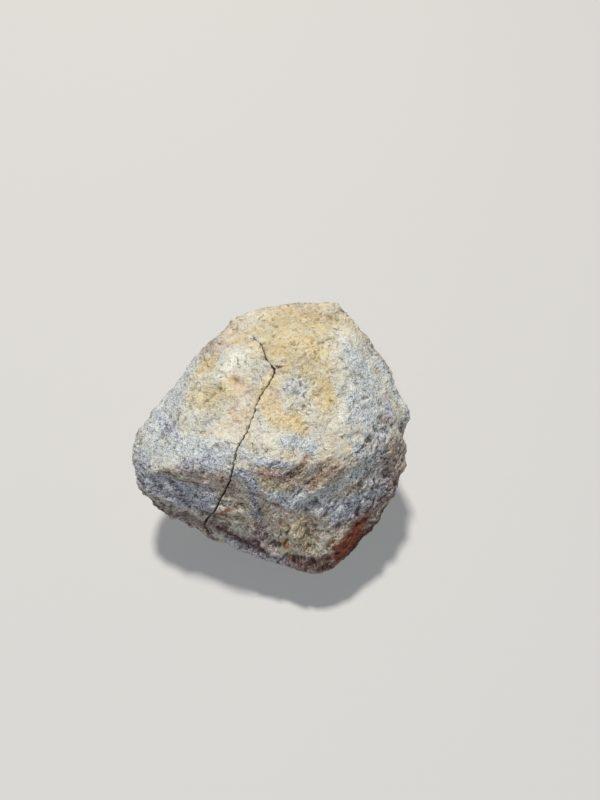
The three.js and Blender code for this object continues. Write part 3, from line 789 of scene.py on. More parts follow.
@dataclass
class Crack:
    """The narrow crack that runs over the top and down the front.

    Attributes:
        route: Points near the skin, from the faint start on top to the keel, in millimetres.
        half_width: Half the mouth's width at each route point, in millimetres.
        depth: From the skin to the crack's root, in millimetres.
        wall_run: How far inside the rims the full depth is reached, in millimetres.
        lip: How far one side stands above the other, in millimetres.
        lip_turn: Width over which the lip goes from low to high, in millimetres.
        lip_spread: How far to each side it fades out, in millimetres.
        lip_ends: Angles from the crack's middle where it is gone and where it is whole.
        spur: Points of the short branch.
        spur_half_width: Half the branch's width where it leaves the crack, in millimetres.
        spur_depth: How deep the branch is, in millimetres.
        jag: How far the crack's small kinks reach to each side, in millimetres.
        kink_run: Angle from one kink to the next.
        run_out: Angle past each end over which the bent grid line comes back to its plane.
        mean_radius: From the stone's centre to the crack, which turns angles into millimetres.
    """

    route: tuple[Point, ...] = (
        (-3, 14.7, 11.2), (-1.6, 12.9, 11.7), (-0.8, 10.3, 12), (-0.3, 8.9, 12.2), (0.9, 7.6, 12.2),
        (1.1, 6.6, 12), (0.7, 5.5, 11.6), (0.1, 4.4, 11), (-1, 3.3, 10.4), (-1.8, 1.8, 9.8),
        (-2.2, 0.4, 9.3), (-2.7, -1, 8.7), (-3.4, -2.9, 8), (-4.2, -4.6, 7.2), (-5.1, -5.8, 6.6),
        (-5.6, -7.2, 5.9), (-6, -8.8, 4.9), (-6.5, -10.2, 2.9), (-7.6, -11.3, 0.9),
        (-8.4, -12.1, -0.8), (-9.7, -13.2, -3.5), (-11.1, -13.7, -5.7), (-11.9, -14, -7.3),
        (-11.5, -14.7, -8.5), (-10.4, -15.6, -9.8),
    )
    half_width: tuple[float, ...] = (
        0.05, 0.08, 0.1, 0.12, 0.2, 0.14, *(0.13,) * 3, *(0.14,) * 3, *(0.15,) * 9, 0.18, 0.24, 0.26, 0.24,
    )
    depth: float = 1.4
    wall_run: float = 0.2
    lip: float = 0.1
    lip_turn: float = 0.15
    lip_spread: float = 1.2
    lip_ends: tuple[float, float] = (0.75, 0.45)
    spur: tuple[Point, ...] = ((0.8, 7.5, 12.2), (2.3, 7.35, 12.2), (4, 7.6, 12.3))
    spur_half_width: float = 0.5
    spur_depth: float = 0.35
    jag: float = 0.11
    kink_run: float = 0.055
    run_out: float = 0.9
    mean_radius: float = 14.0

    def __post_init__(self) -> None:
        """Lays out a frame whose middle plane passes through the centre and follows the route."""
        route = np.array(self.route)
        unit = route / np.linalg.norm(route, axis=1, keepdims=True)
        across = np.linalg.svd(unit, full_matrices=False)[2][2]
        self.across = across * np.sign(across[0])
        middle = unit.mean(axis=0)
        middle -= middle @ self.across * self.across
        self.outward = middle / np.linalg.norm(middle)
        self.along = np.cross(self.across, self.outward)
        travel = np.arctan2(unit @ self.along, unit @ self.outward)
        aside = np.arcsin(np.clip(unit @ self.across, -1, 1))
        order = np.argsort(travel)
        self.travel, self.aside = travel[order], aside[order]
        self.widths = np.array(self.half_width)[order]

    def route_aside(self, travel: np.ndarray) -> np.ndarray:
        """The route's angle aside at each angle along, with small kinks, and none past its ends.

        Args:
            travel: Angles along the crack.

        Returns:
            One angle aside for each.
        """
        start, end = self.travel[0], self.travel[-1]
        known = np.concatenate([[start - self.run_out], self.travel, [end + self.run_out]])
        smooth = np.interp(travel, known, np.concatenate([[0], self.aside, [0]]))
        stops = np.arange(start, end, self.kink_run)
        chance = cell_numbers(np.stack([np.arange(len(stops))] * 3, axis=-1), 71, 1)[0]
        kinks = (chance - 0.5) * 2 * self.jag / self.mean_radius
        return smooth + np.interp(travel, stops, kinks, left=0, right=0)

    def bend(self, weave: np.ndarray) -> tuple[np.ndarray, np.ndarray, np.ndarray]:
        """Bends a grid so that its middle line follows the crack and its lines crowd towards it.

        Formula: the angle aside x becomes x * (1 - crowd * exp(-(x / reach)^2)), then the route's
        own angle aside is added, times (1 - (x / limit)^2)^2 within the limit and nothing past it.

        Args:
            weave: Unit directions in the crack's own frame (along, across, outward), shape (n, 3).

        Returns:
            The bent unit directions in the stone's frame, the angle along the crack, and the angle
            aside from the route, each for every direction.
        """
        crowd, reach, limit = 0.6, 0.03, 1.1
        travel = np.arctan2(weave[:, 0], weave[:, 2])
        aside = np.arcsin(np.clip(weave[:, 1], -1, 1))
        aside = aside * (1 - crowd * np.exp(-((aside / reach) ** 2)))
        hold = np.clip(1 - (aside / limit) ** 2, 0, 1) ** 2
        bent = aside + self.route_aside(travel) * hold
        outline = np.cos(travel)[:, None] * self.outward + np.sin(travel)[:, None] * self.along
        directions = np.cos(bent)[:, None] * outline + np.sin(bent)[:, None] * self.across
        return directions, travel, aside

    def inside(self, travel: np.ndarray, aside: np.ndarray, base: np.ndarray,
               spur_route: np.ndarray) -> tuple[np.ndarray, np.ndarray]:
        """How far inside the rims of the crack and of its branch each point lies, in millimetres.

        Formula: the local half width minus the distance from the route, so 0 at the rims and less
        outside. The branch's width falls evenly to 0 at its tip.

        Args:
            travel: Angle along the crack.
            aside: Angle aside from the route.
            base: Points on the rounded hull.
            spur_route: The branch's points on the rounded hull.

        Returns:
            The distances inside the crack and inside its branch, each from -1 to 1.
        """
        step, unevenness = 0.004, 0.5
        slope = (self.route_aside(travel + step) - self.route_aside(travel - step)) / (2 * step)
        distance = np.abs(aside) * np.linalg.norm(base, axis=1) / np.sqrt(1 + slope**2)
        uneven = 1 + unevenness * Noise(base, 0.8, 73).ripple()
        width = np.interp(travel, self.travel, self.widths) * uneven
        past_end = np.maximum(self.travel[0] - travel, travel - self.travel[-1]) * self.mean_radius
        distance = np.hypot(distance, np.maximum(past_end, 0))
        spur_distance, _ = route_distance(base, spur_route)
        length = np.linalg.norm(spur_route[-1] - spur_route[0])
        left = 1 - np.linalg.norm(base - spur_route[0], axis=1) / length
        spur = self.spur_half_width * np.maximum(left, -1) - spur_distance
        return np.clip(width - distance, -1, 1), np.clip(spur, -1, 1)

    def sunk(self, inside: np.ndarray, in_spur: np.ndarray) -> np.ndarray:
        """Depth of the crack and its branch, whose walls fall along a square root to the full depth."""
        main, branch = (np.sqrt(np.clip(part / self.wall_run, 0, 1)) for part in (inside, in_spur))
        return np.maximum(self.depth * main, self.spur_depth * branch)

    def step_up(self, travel: np.ndarray, aside: np.ndarray) -> np.ndarray:
        """Height of the lip: up on one side of the crack, down on the other, fading away from it.

        Args:
            travel: Angle along the crack.
            aside: Angle aside from the route.

        Returns:
            One height for each point, in millimetres.
        """
        away = aside * self.mean_radius
        in_reach = smooth_step(np.abs(travel - self.travel.mean()), *self.lip_ends)
        near = np.exp(-((away / self.lip_spread) ** 2)) * in_reach
        return self.lip * np.tanh(away / self.lip_turn) * near


# ---- the skin -----------------------------------------------------------------------------------

def cube_weave(steps: int) -> tuple[np.ndarray, np.ndarray]:
    """Six square grids on a cube that share their edge points.

    Formula: on each side of the cube a point is (1, tan(u), tan(v)), with u and v from -45 to 45
    degrees in even steps, made one unit long.

    Args:
        steps: Squares along one side of the cube.

    Returns:
        Unit directions, shape (n, 3), and squares as four point numbers, shape (m, 4).
    """
    ticks = np.arange(steps + 1) * 2 - steps
    a, b = np.meshgrid(ticks, ticks, indexing="ij")
    c = np.full_like(a, steps)
    sides = [(c, a, b), (-c, b, a), (b, c, a), (a, -c, b), (a, b, c), (b, a, -c)]
    points = np.concatenate([np.stack(side, axis=-1).reshape(-1, 3) for side in sides])
    unique, number = np.unique(points, axis=0, return_inverse=True)
    number = number.reshape(len(sides), steps + 1, steps + 1)
    squares = np.stack(
        [number[:, :-1, :-1], number[:, 1:, :-1], number[:, 1:, 1:], number[:, :-1, 1:]], axis=-1
    )
    directions = np.tan(unique / steps * np.pi / 4)
    return directions / np.linalg.norm(directions, axis=1, keepdims=True), squares.reshape(-1, 4)


def point_normals(points: np.ndarray, squares: np.ndarray) -> np.ndarray:
    """Outward unit normals: the sum of the cross products of each point's squares' diagonals.

    Args:
        points: Places, shape (n, 3).
        squares: Squares as four point numbers, shape (m, 4).

    Returns:
        One unit normal for each point.
    """
    crosses = np.cross(points[squares[:, 2]] - points[squares[:, 0]],
                       points[squares[:, 3]] - points[squares[:, 1]])
    normals = np.zeros_like(points)
    for corner, axis in itertools.product(range(4), range(3)):
        normals[:, axis] += np.bincount(squares[:, corner], crosses[:, axis], len(points))
    return normals / np.linalg.norm(normals, axis=1, keepdims=True)


def neighbour_mean(values: np.ndarray, squares: np.ndarray, rounds: int) -> np.ndarray:
    """Values averaged with those across each square, a number of times over.

    Args:
        values: One number for each point.
        squares: Squares as four point numbers, shape (m, 4).
        rounds: How many times; each takes in points one square farther away.

    Returns:
        The averaged values.
    """
    count = np.bincount(squares.ravel(), minlength=len(values))
    for _ in range(rounds):
        of_square = values[squares].mean(axis=1)
        total = sum(np.bincount(squares[:, k], of_square, len(values)) for k in range(4))
        values = total / count
    return values


@dataclass
class StoneSkin:
    """The stone's finished outside, as one closed surface with masks for its material.

    Attributes:
        block: The rounded hull.
        crack: The crack.
        steps: Squares along one side of the woven cube; triangles are 12 times its square.
        soft_relief: Height of the light crust's gentle relief, in millimetres.
        broken_relief: Height of the broken front's relief, in millimetres.
        hollow_depth: How far below its wide surroundings a full hollow lies, in millimetres.
        groove_depth: How far below its near surroundings a full groove lies, in millimetres.
    """

    block: Block = field(default_factory=Block)
    crack: Crack = field(default_factory=Crack)
    steps: int = 128
    soft_relief: float = 0.24
    broken_relief: float = 0.46
    hollow_depth: float = 0.3
    groove_depth: float = 0.1

    def build(self) -> bpy.types.Object:
        """Makes the skin's mesh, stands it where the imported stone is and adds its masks.

        Returns:
            The finished skin, without its material.
        """
        weave, squares = cube_weave(self.steps)
        crack = self.crack
        directions, travel, aside = crack.bend(weave)
        if np.linalg.det(np.stack([crack.along, crack.across, crack.outward])) < 0:
            squares = squares[:, ::-1]
        base = directions * self.block.radius(directions)[:, None]
        normals = point_normals(base, squares)
        brokenness = self.brokenness(base, normals)
        height = self.relief(base, brokenness) + crack.step_up(travel, aside)
        inside, in_spur = crack.inside(travel, aside, base, self.block.onto(crack.spur))
        points = base + normals * height[:, None] - directions * crack.sunk(inside, in_spur)[:, None]
        points[:, 2] = np.maximum(points[:, 2], -self.block.seat_depth)
        masks = self.masks(base, height, squares)
        masks |= {"crack": inside, "spur": in_spur, "broken": brokenness}
        skin = self.to_mesh(self.placed(points), squares)
        for name, mask in masks.items():
            attribute = skin.data.attributes.new(name, "FLOAT", "POINT")
            attribute.data.foreach_set("value", mask.astype(np.float32))
        LOG.info("%s: %d triangles", skin.name, 2 * len(squares))
        return skin

    def brokenness(self, base: np.ndarray, normals: np.ndarray) -> np.ndarray:
        """0 on the light crust of the top and 1 on the broken front and sides, with a ragged border."""
        ragged, still_crust, all_broken = 0.25, 0.92, 0.55
        upward = normals[:, 2] + ragged * Noise(base, 7.0, 3).layered()
        return smooth_step(upward, still_crust, all_broken)

    def relief(self, base: np.ndarray, brokenness: np.ndarray) -> np.ndarray:
        """Height of the skin over the rounded hull, in millimetres.

        Formula: the strokes, plus broad layered swells, plus chips, streaks and grit whose heights
        grow with the brokenness, less fine wrinkles and small round pits.

        Args:
            base: Points on the rounded hull.
            brokenness: 0 on the crust, 1 on broken stone.

        Returns:
            One height for each point.
        """
        wander_reach = 0.7
        drift = [Noise(base, 4.0, seed).layered(3) for seed in (41, 43, 47)]
        wander = base + wander_reach * np.stack(drift, axis=1)
        height = sum(stroke.height(wander, self.block.onto(stroke.route)) for stroke in STROKES)
        sink, sink_on_broken, swell = 0.15, 0.12, 0.35
        height = height - sink - sink_on_broken * brokenness + swell * Noise(base, 9.0, 5).layered(3)
        rough = self.soft_relief + (self.broken_relief - self.soft_relief) * brokenness
        rough = rough * np.clip(1 + 0.7 * Noise(base, 11.0, 7).ripple(), 0.5, 1.5)
        craggy = brokenness * smooth_step(base[:, 0], -5, -11)
        crumbly = 0.6 + 0.8 * smooth_step(Noise(base, 5.0, 53).ripple(), -0.2, 0.4)
        crumbly = crumbly * (1 - 0.3 * brokenness)
        for share, tall, width, seed, sharp in (
            (rough, 0.95, 4.2, 11, 14),
            (craggy, 0.32, 2.6, 59, 16),
            (crumbly, 0.15, 1.9, 13, 20),
            (crumbly, 0.13, 0.95, 15, 18),
        ):
            height += tall * share * Noise(wander, width, seed).chipped(sharp)
        for tall, width, seed in ((0.24, 1.6, 19), (0.2, 0.85, 23), (0.14, 0.5, 27)):
            height += tall * brokenness * self.streaks(wander, width, seed)
        grit, grit_on_broken = 0.07, 0.06
        height += (grit + grit_on_broken * brokenness) * Noise(base, 0.7, 29).layered(2, 0.8)
        wrinkle_depth, pit_depth, pit_on_broken, small_pit_depth = 0.1, 0.14, 0.1, 0.12
        wrinkle = smooth_step(Noise(wander, 1.5, 31).creased(1), 0.78, 0.97)
        height -= wrinkle_depth * wrinkle * smooth_step(Noise(base, 2.6, 33).ripple(), 0.05, 0.4)
        height -= (pit_depth + pit_on_broken * brokenness) * Noise(base, 1.5, 37).pitted(0.25)
        small_pits = small_pit_depth * Noise(wander, 0.9, 39).pitted(0.35)
        return height - small_pits * smooth_step(Noise(base, 4.0, 45).ripple(), -0.2, 0.3)

    def streaks(self, points: np.ndarray, size: float, seed: int) -> np.ndarray:
        """Creased noise drawn out along the grain, which slants up to the right of the vein.

        Args:
            points: Places in millimetres.
            size: Width of one crease in millimetres.
            seed: Chooses the pattern.

        Returns:
            One height for each point, -1 to 1.
        """
        slanted, level = (Noise(drawn_out(points, way, GRAIN_STRETCH), size, number).creased(2)
                          for way, number in ((GRAIN_RIGHT, seed), (GRAIN_LEFT, seed + 5)))
        right = smooth_step(points[:, 0], -6, 2)
        return slanted * right + level * (1 - right)

    def masks(self, base: np.ndarray, height: np.ndarray, squares: np.ndarray) -> dict[str, np.ndarray]:
        """Soft masks that the rind's material reads.

        Formula: a stain is its strength times exp(-(distance / spread)^2), read at places that
        layered noise has moved; stains of one tone are joined as 1 minus the product of what they
        leave. A hollow is how far the skin lies below the mean of its surroundings.

        Args:
            base: Points on the rounded hull.
            height: The relief over the hull.
            squares: The skin's squares.

        Returns:
            Mask name to one number for each point.
        """
        wide_drift, fine_drift = 0.6, 0.45
        moved = base + np.stack([
            wide_drift * Noise(base, 5.0, seed).layered(2)
            + fine_drift * Noise(base, 1.4, seed + 3).layered(3, 0.7)
            for seed in (51, 61, 71)
        ], axis=1)
        left_bare = {tone: np.ones(len(base)) for tone in Tone}
        for stain in STAINS:
            distance, _ = route_distance(moved, self.block.onto(stain.route))
            left_bare[stain.tone] *= 1 - stain.strength * np.exp(-((distance / stain.spread) ** 2))
        masks = {tone.value: 1 - bare for tone, bare in left_bare.items()}
        wide, near = 14, 2
        # the hollow and groove masks set where the material paints shade, and the groove mask also where it
        # paints highlights on crests
        masks["hollow"] = (neighbour_mean(height, squares, wide) - height) / self.hollow_depth
        masks["groove"] = (neighbour_mean(height, squares, near) - height) / self.groove_depth
        return masks

    def placed(self, points: np.ndarray) -> np.ndarray:
        """Points in metres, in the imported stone's frame: centred on its box, flat spot on its base.

        Args:
            points: Places in millimetres from the stone's centre.

        Returns:
            The places in metres.
        """
        low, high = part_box(NODE)
        middle = (points[:, :2].min(axis=0) + points[:, :2].max(axis=0)) / 2
        self.centre = Vector((
            (low.x + high.x) / 2 - middle[0] * MM,
            (low.y + high.y) / 2 - middle[1] * MM,
            low.z + self.block.seat_depth * MM,
        ))
        return points * MM + np.array(self.centre)

    def to_mesh(self, points: np.ndarray, squares: np.ndarray) -> bpy.types.Object:
        """A smooth-shaded mesh object at the origin, with every square split in two triangles.

        Args:
            points: Places in metres.
            squares: Squares as four point numbers.

        Returns:
            The object.
        """
        triangles = np.concatenate([squares[:, [0, 1, 2]], squares[:, [0, 2, 3]]])
        mesh = bpy.data.meshes.new(STONE_NAME)
        mesh.vertices.add(len(points))
        mesh.vertices.foreach_set("co", points.astype(np.float32).ravel())
        mesh.loops.add(triangles.size)
        mesh.loops.foreach_set("vertex_index", triangles.astype(np.int32).ravel())
        mesh.polygons.add(len(triangles))
        mesh.polygons.foreach_set("loop_start", np.arange(0, triangles.size, 3, dtype=np.int32))
        mesh.polygons.foreach_set("loop_total", np.full(len(triangles), 3, dtype=np.int32))
        mesh.polygons.foreach_set("use_smooth", np.ones(len(triangles), dtype=bool))
        mesh.update(calc_edges=True)
        mesh.validate()
        skin = bpy.data.objects.new(STONE_NAME, mesh)
        bpy.context.scene.collection.objects.link(skin)
        return skin


# ---- materials ----------------------------------------------------------------------------------

class Sheet:
    """A node tree with short calls to add nodes and join them."""

    def __init__(self, tree: bpy.types.NodeTree) -> None:
        """Keeps the tree and starts with no nodes in it."""
        self.tree = tree
        tree.nodes.clear()

    def feed(self, target: Socket, value: object) -> None:
        """Links a socket into the target, or sets a plain value on it.

        Args:
            target: An input of a node.
            value: A socket, a number or a vector.
        """
        if isinstance(value, Socket):
            self.tree.links.new(value, target)
        else:
            target.default_value = value

    def add(self, kind: str, *values: object, **settings: object) -> bpy.types.Node:
        """A new node of a kind, with its settings, and values or sockets for its first inputs.

        Args:
            kind: The node's type name.
            values: What its first inputs get, in their order.
            settings: Its properties, such as an operation.

        Returns:
            The node.
        """
        node = self.tree.nodes.new(kind)
        for name, value in settings.items():
            setattr(node, name, value)
        for target, value in zip(node.inputs, values):
            self.feed(target, value)
        return node

    def maths(self, operation: str, *values: object) -> Socket:
        """A Math node's result; values are sockets or numbers."""
        return self.add("ShaderNodeMath", *values, operation=operation).outputs[0]

    def times(self, first: object, second: object) -> Socket:
        """The product of two values."""
        return self.maths("MULTIPLY", first, second)

    def line(self, value: object, slope: object, start: object) -> Socket:
        """A value times a slope, plus a start."""
        return self.maths("MULTIPLY_ADD", value, slope, start)

    def vectors(self, operation: str, *values: object) -> Socket:
        """A Vector Math node's result; values are sockets or vectors."""
        return self.add("ShaderNodeVectorMath", *values, operation=operation).outputs[0]

    def ramp(self, value: object, low: float, high: float) -> Socket:
        """A value turned to 0 at ``low`` and 1 at ``high`` along an s-curve."""
        node = self.add("ShaderNodeMapRange", value, low, high, interpolation_type="SMOOTHSTEP")
        return node.outputs["Result"]

    def blend(self, share: object, first: object, second: object, mode: str = "MIX") -> Socket:
        """Two colours mixed by a share, each a socket or a colour.

        Args:
            share: How much of the second colour shows, 0 to 1.
            first: The colour underneath.
            second: The colour over it.
            mode: How the two are mixed.

        Returns:
            The mixed colour.
        """
        node = self.add("ShaderNodeMix", share, data_type="RGBA", blend_type=mode)
        for target, value in zip(node.inputs[6:8], (first, second)):
            self.feed(target, (*value, 1.0) if isinstance(value, tuple) else value)
        return node.outputs[2]

    def darkened(self, share: object, colour: Socket, shade: Colour) -> Socket:
        """A colour multiplied by a shade, as far as a share says."""
        return self.blend(share, colour, shade, "MULTIPLY")


class SkinSheet(Sheet):
    """The nodes of a material on the stone, with the place on it in millimetres."""

    def __init__(self, tree: bpy.types.NodeTree) -> None:
        """Adds the nodes that give the place."""
        super().__init__(tree)
        scaled = self.add("ShaderNodeMapping", self.add("ShaderNodeTexCoord").outputs["Object"])
        self.feed(scaled.inputs["Scale"], (1 / MM,) * 3)
        self.place = scaled.outputs["Vector"]

    def mask(self, name: str | Tone) -> Socket:
        """One of the skin's masks, by its name or its tone."""
        attribute = name.value if isinstance(name, Tone) else name
        return self.add("ShaderNodeAttribute", attribute_name=attribute).outputs["Fac"]

    def noise(self, size: float, detail: float, rough: float, seed: int,
              place: Socket | None = None) -> Socket:
        """Soft noise with cells of a size in millimetres, 0 to 1, about a half.

        Args:
            size: Width of its widest cells in millimetres.
            detail: How many finer layers it has.
            rough: How strong each layer is against the one before.
            seed: Chooses the pattern.
            place: Where it is read, if not at the place itself.

        Returns:
            Its value.
        """
        node = self.add("ShaderNodeTexNoise", place or self.place, noise_dimensions="4D")
        for name, value in (("W", seed), ("Scale", 1 / size), ("Detail", detail), ("Roughness", rough)):
            self.feed(node.inputs[name], value)
        return node.outputs["Fac"]

    def drift(self, per_mm: float, detail: float, reach: float, start: object) -> Socket:
        """Three-way noise times a reach, added to a start, which is a place or a vector.

        Args:
            per_mm: Cells in a millimetre.
            detail: How many finer layers it has.
            reach: What its numbers, 0 to 1, are multiplied by.
            start: The place or the vector that it is added to.

        Returns:
            The moved place or vector.
        """
        node = self.add("ShaderNodeTexNoise", self.place)
        self.feed(node.inputs["Scale"], per_mm)
        self.feed(node.inputs["Detail"], detail)
        return self.vectors("MULTIPLY_ADD", node.outputs["Color"], (reach,) * 3, start)


def srgb(red: int, green: int, blue: int) -> Colour:
    """A screen colour, 0 to 255, as the linear colour that shaders take."""
    parts = [value / 255 for value in (red, green, blue)]
    linear = [p / 12.92 if p <= 0.04045 else ((p + 0.055) / 1.055) ** 2.4 for p in parts]
    return (linear[0], linear[1], linear[2])


class SharedGroup:
    """A node group that is built once and placed in a material with its own values."""

    NAME = ""
    INPUTS: dict[str, str] = {}
    OUTPUTS: dict[str, str] = {}

    @staticmethod
    def fill(sheet: Sheet, given: bpy.types.NodeOutputs, result: bpy.types.NodeInputs) -> None:
        """Adds the nodes between the group's inputs and its outputs.

        Args:
            sheet: The group's nodes.
            given: The group's inputs, inside it.
            result: The group's outputs, inside it.
        """
        raise NotImplementedError

    @classmethod
    def tree(cls) -> bpy.types.NodeTree:
        """The group's tree, made the first time that it is asked for.

        Returns:
            The tree.
        """
        found = bpy.data.node_groups.get(cls.NAME)
        if found:
            return found
        tree = bpy.data.node_groups.new(cls.NAME, "ShaderNodeTree")
        for way, sockets in (("INPUT", cls.INPUTS), ("OUTPUT", cls.OUTPUTS)):
            for label, kind in sockets.items():
                tree.interface.new_socket(label, in_out=way, socket_type=f"NodeSocket{kind}")
        sheet = Sheet(tree)
        given = sheet.add("NodeGroupInput").outputs
        cls.fill(sheet, given, sheet.add("NodeGroupOutput").inputs)
        return tree

    @classmethod
    def put(cls, sheet: Sheet, *values: object) -> dict[str, Socket]:
        """Places the group in a material.

        Args:
            sheet: The material's nodes.
            values: A socket, a number or a vector for each of the group's inputs, in their order.

        Returns:
            Its outputs by name.
        """
        node = sheet.add("ShaderNodeGroup", node_tree=cls.tree())
        for name, value in zip(cls.INPUTS, values):
            sheet.feed(node.inputs[name], value)
        return {socket.name: socket for socket in node.outputs}


class GritGroup(SharedGroup):
    """Mineral grains of one size: dark grains, light grains and a height.

    Grains are the cells of a jittered grid. Each cell's own random numbers pick it as dark, light
    or plain and give its height, and its edge is softened by the distance to its centre.
    """

    NAME = "grit"
    INPUTS = {"Place": "Vector", "Grains per mm": "Float", "Dark share": "Float", "Light share": "Float"}
    OUTPUTS = {"Dark": "Float", "Light": "Float", "Height": "Float"}

    @staticmethod
    def fill(sheet: Sheet, given: bpy.types.NodeOutputs, result: bpy.types.NodeInputs) -> None:
        """Adds the grid's cells and what their random numbers decide."""
        cells = sheet.add("ShaderNodeTexVoronoi", given["Place"], feature="F1")
        sheet.feed(cells.inputs["Scale"], given["Grains per mm"])
        chance = sheet.add("ShaderNodeSeparateColor", cells.outputs["Color"]).outputs
        round_off = sheet.ramp(cells.outputs["Distance"], 0.62, 0.25)
        is_dark = sheet.maths("LESS_THAN", chance[0], given["Dark share"])
        is_light = sheet.maths("LESS_THAN", chance[1], given["Light share"])
        for name, value in (("Dark", is_dark), ("Light", is_light), ("Height", chance[2])):
            sheet.feed(result[name], sheet.times(value, round_off))


class GrainGroup(SharedGroup):
    """Squeezes places along a way, so that noise read there is drawn out along it.

    Formula: the place minus a share of its part along the unit way.
    """

    NAME = "grain"
    INPUTS = {"Place": "Vector", "Way": "Vector", "Share": "Float"}
    OUTPUTS = {"Place": "Vector"}

    @staticmethod
    def fill(sheet: Sheet, given: bpy.types.NodeOutputs, result: bpy.types.NodeInputs) -> None:
        """Adds the vector maths."""
        unit = sheet.vectors("NORMALIZE", given["Way"])
        part = sheet.add("ShaderNodeVectorMath", given["Place"], unit, operation="DOT_PRODUCT")
        removed = sheet.add("ShaderNodeVectorMath", unit, operation="SCALE")
        sheet.feed(removed.inputs["Scale"], sheet.times(part.outputs["Value"], given["Share"]))
        sheet.feed(result["Place"], sheet.vectors("SUBTRACT", given["Place"], removed.outputs[0]))


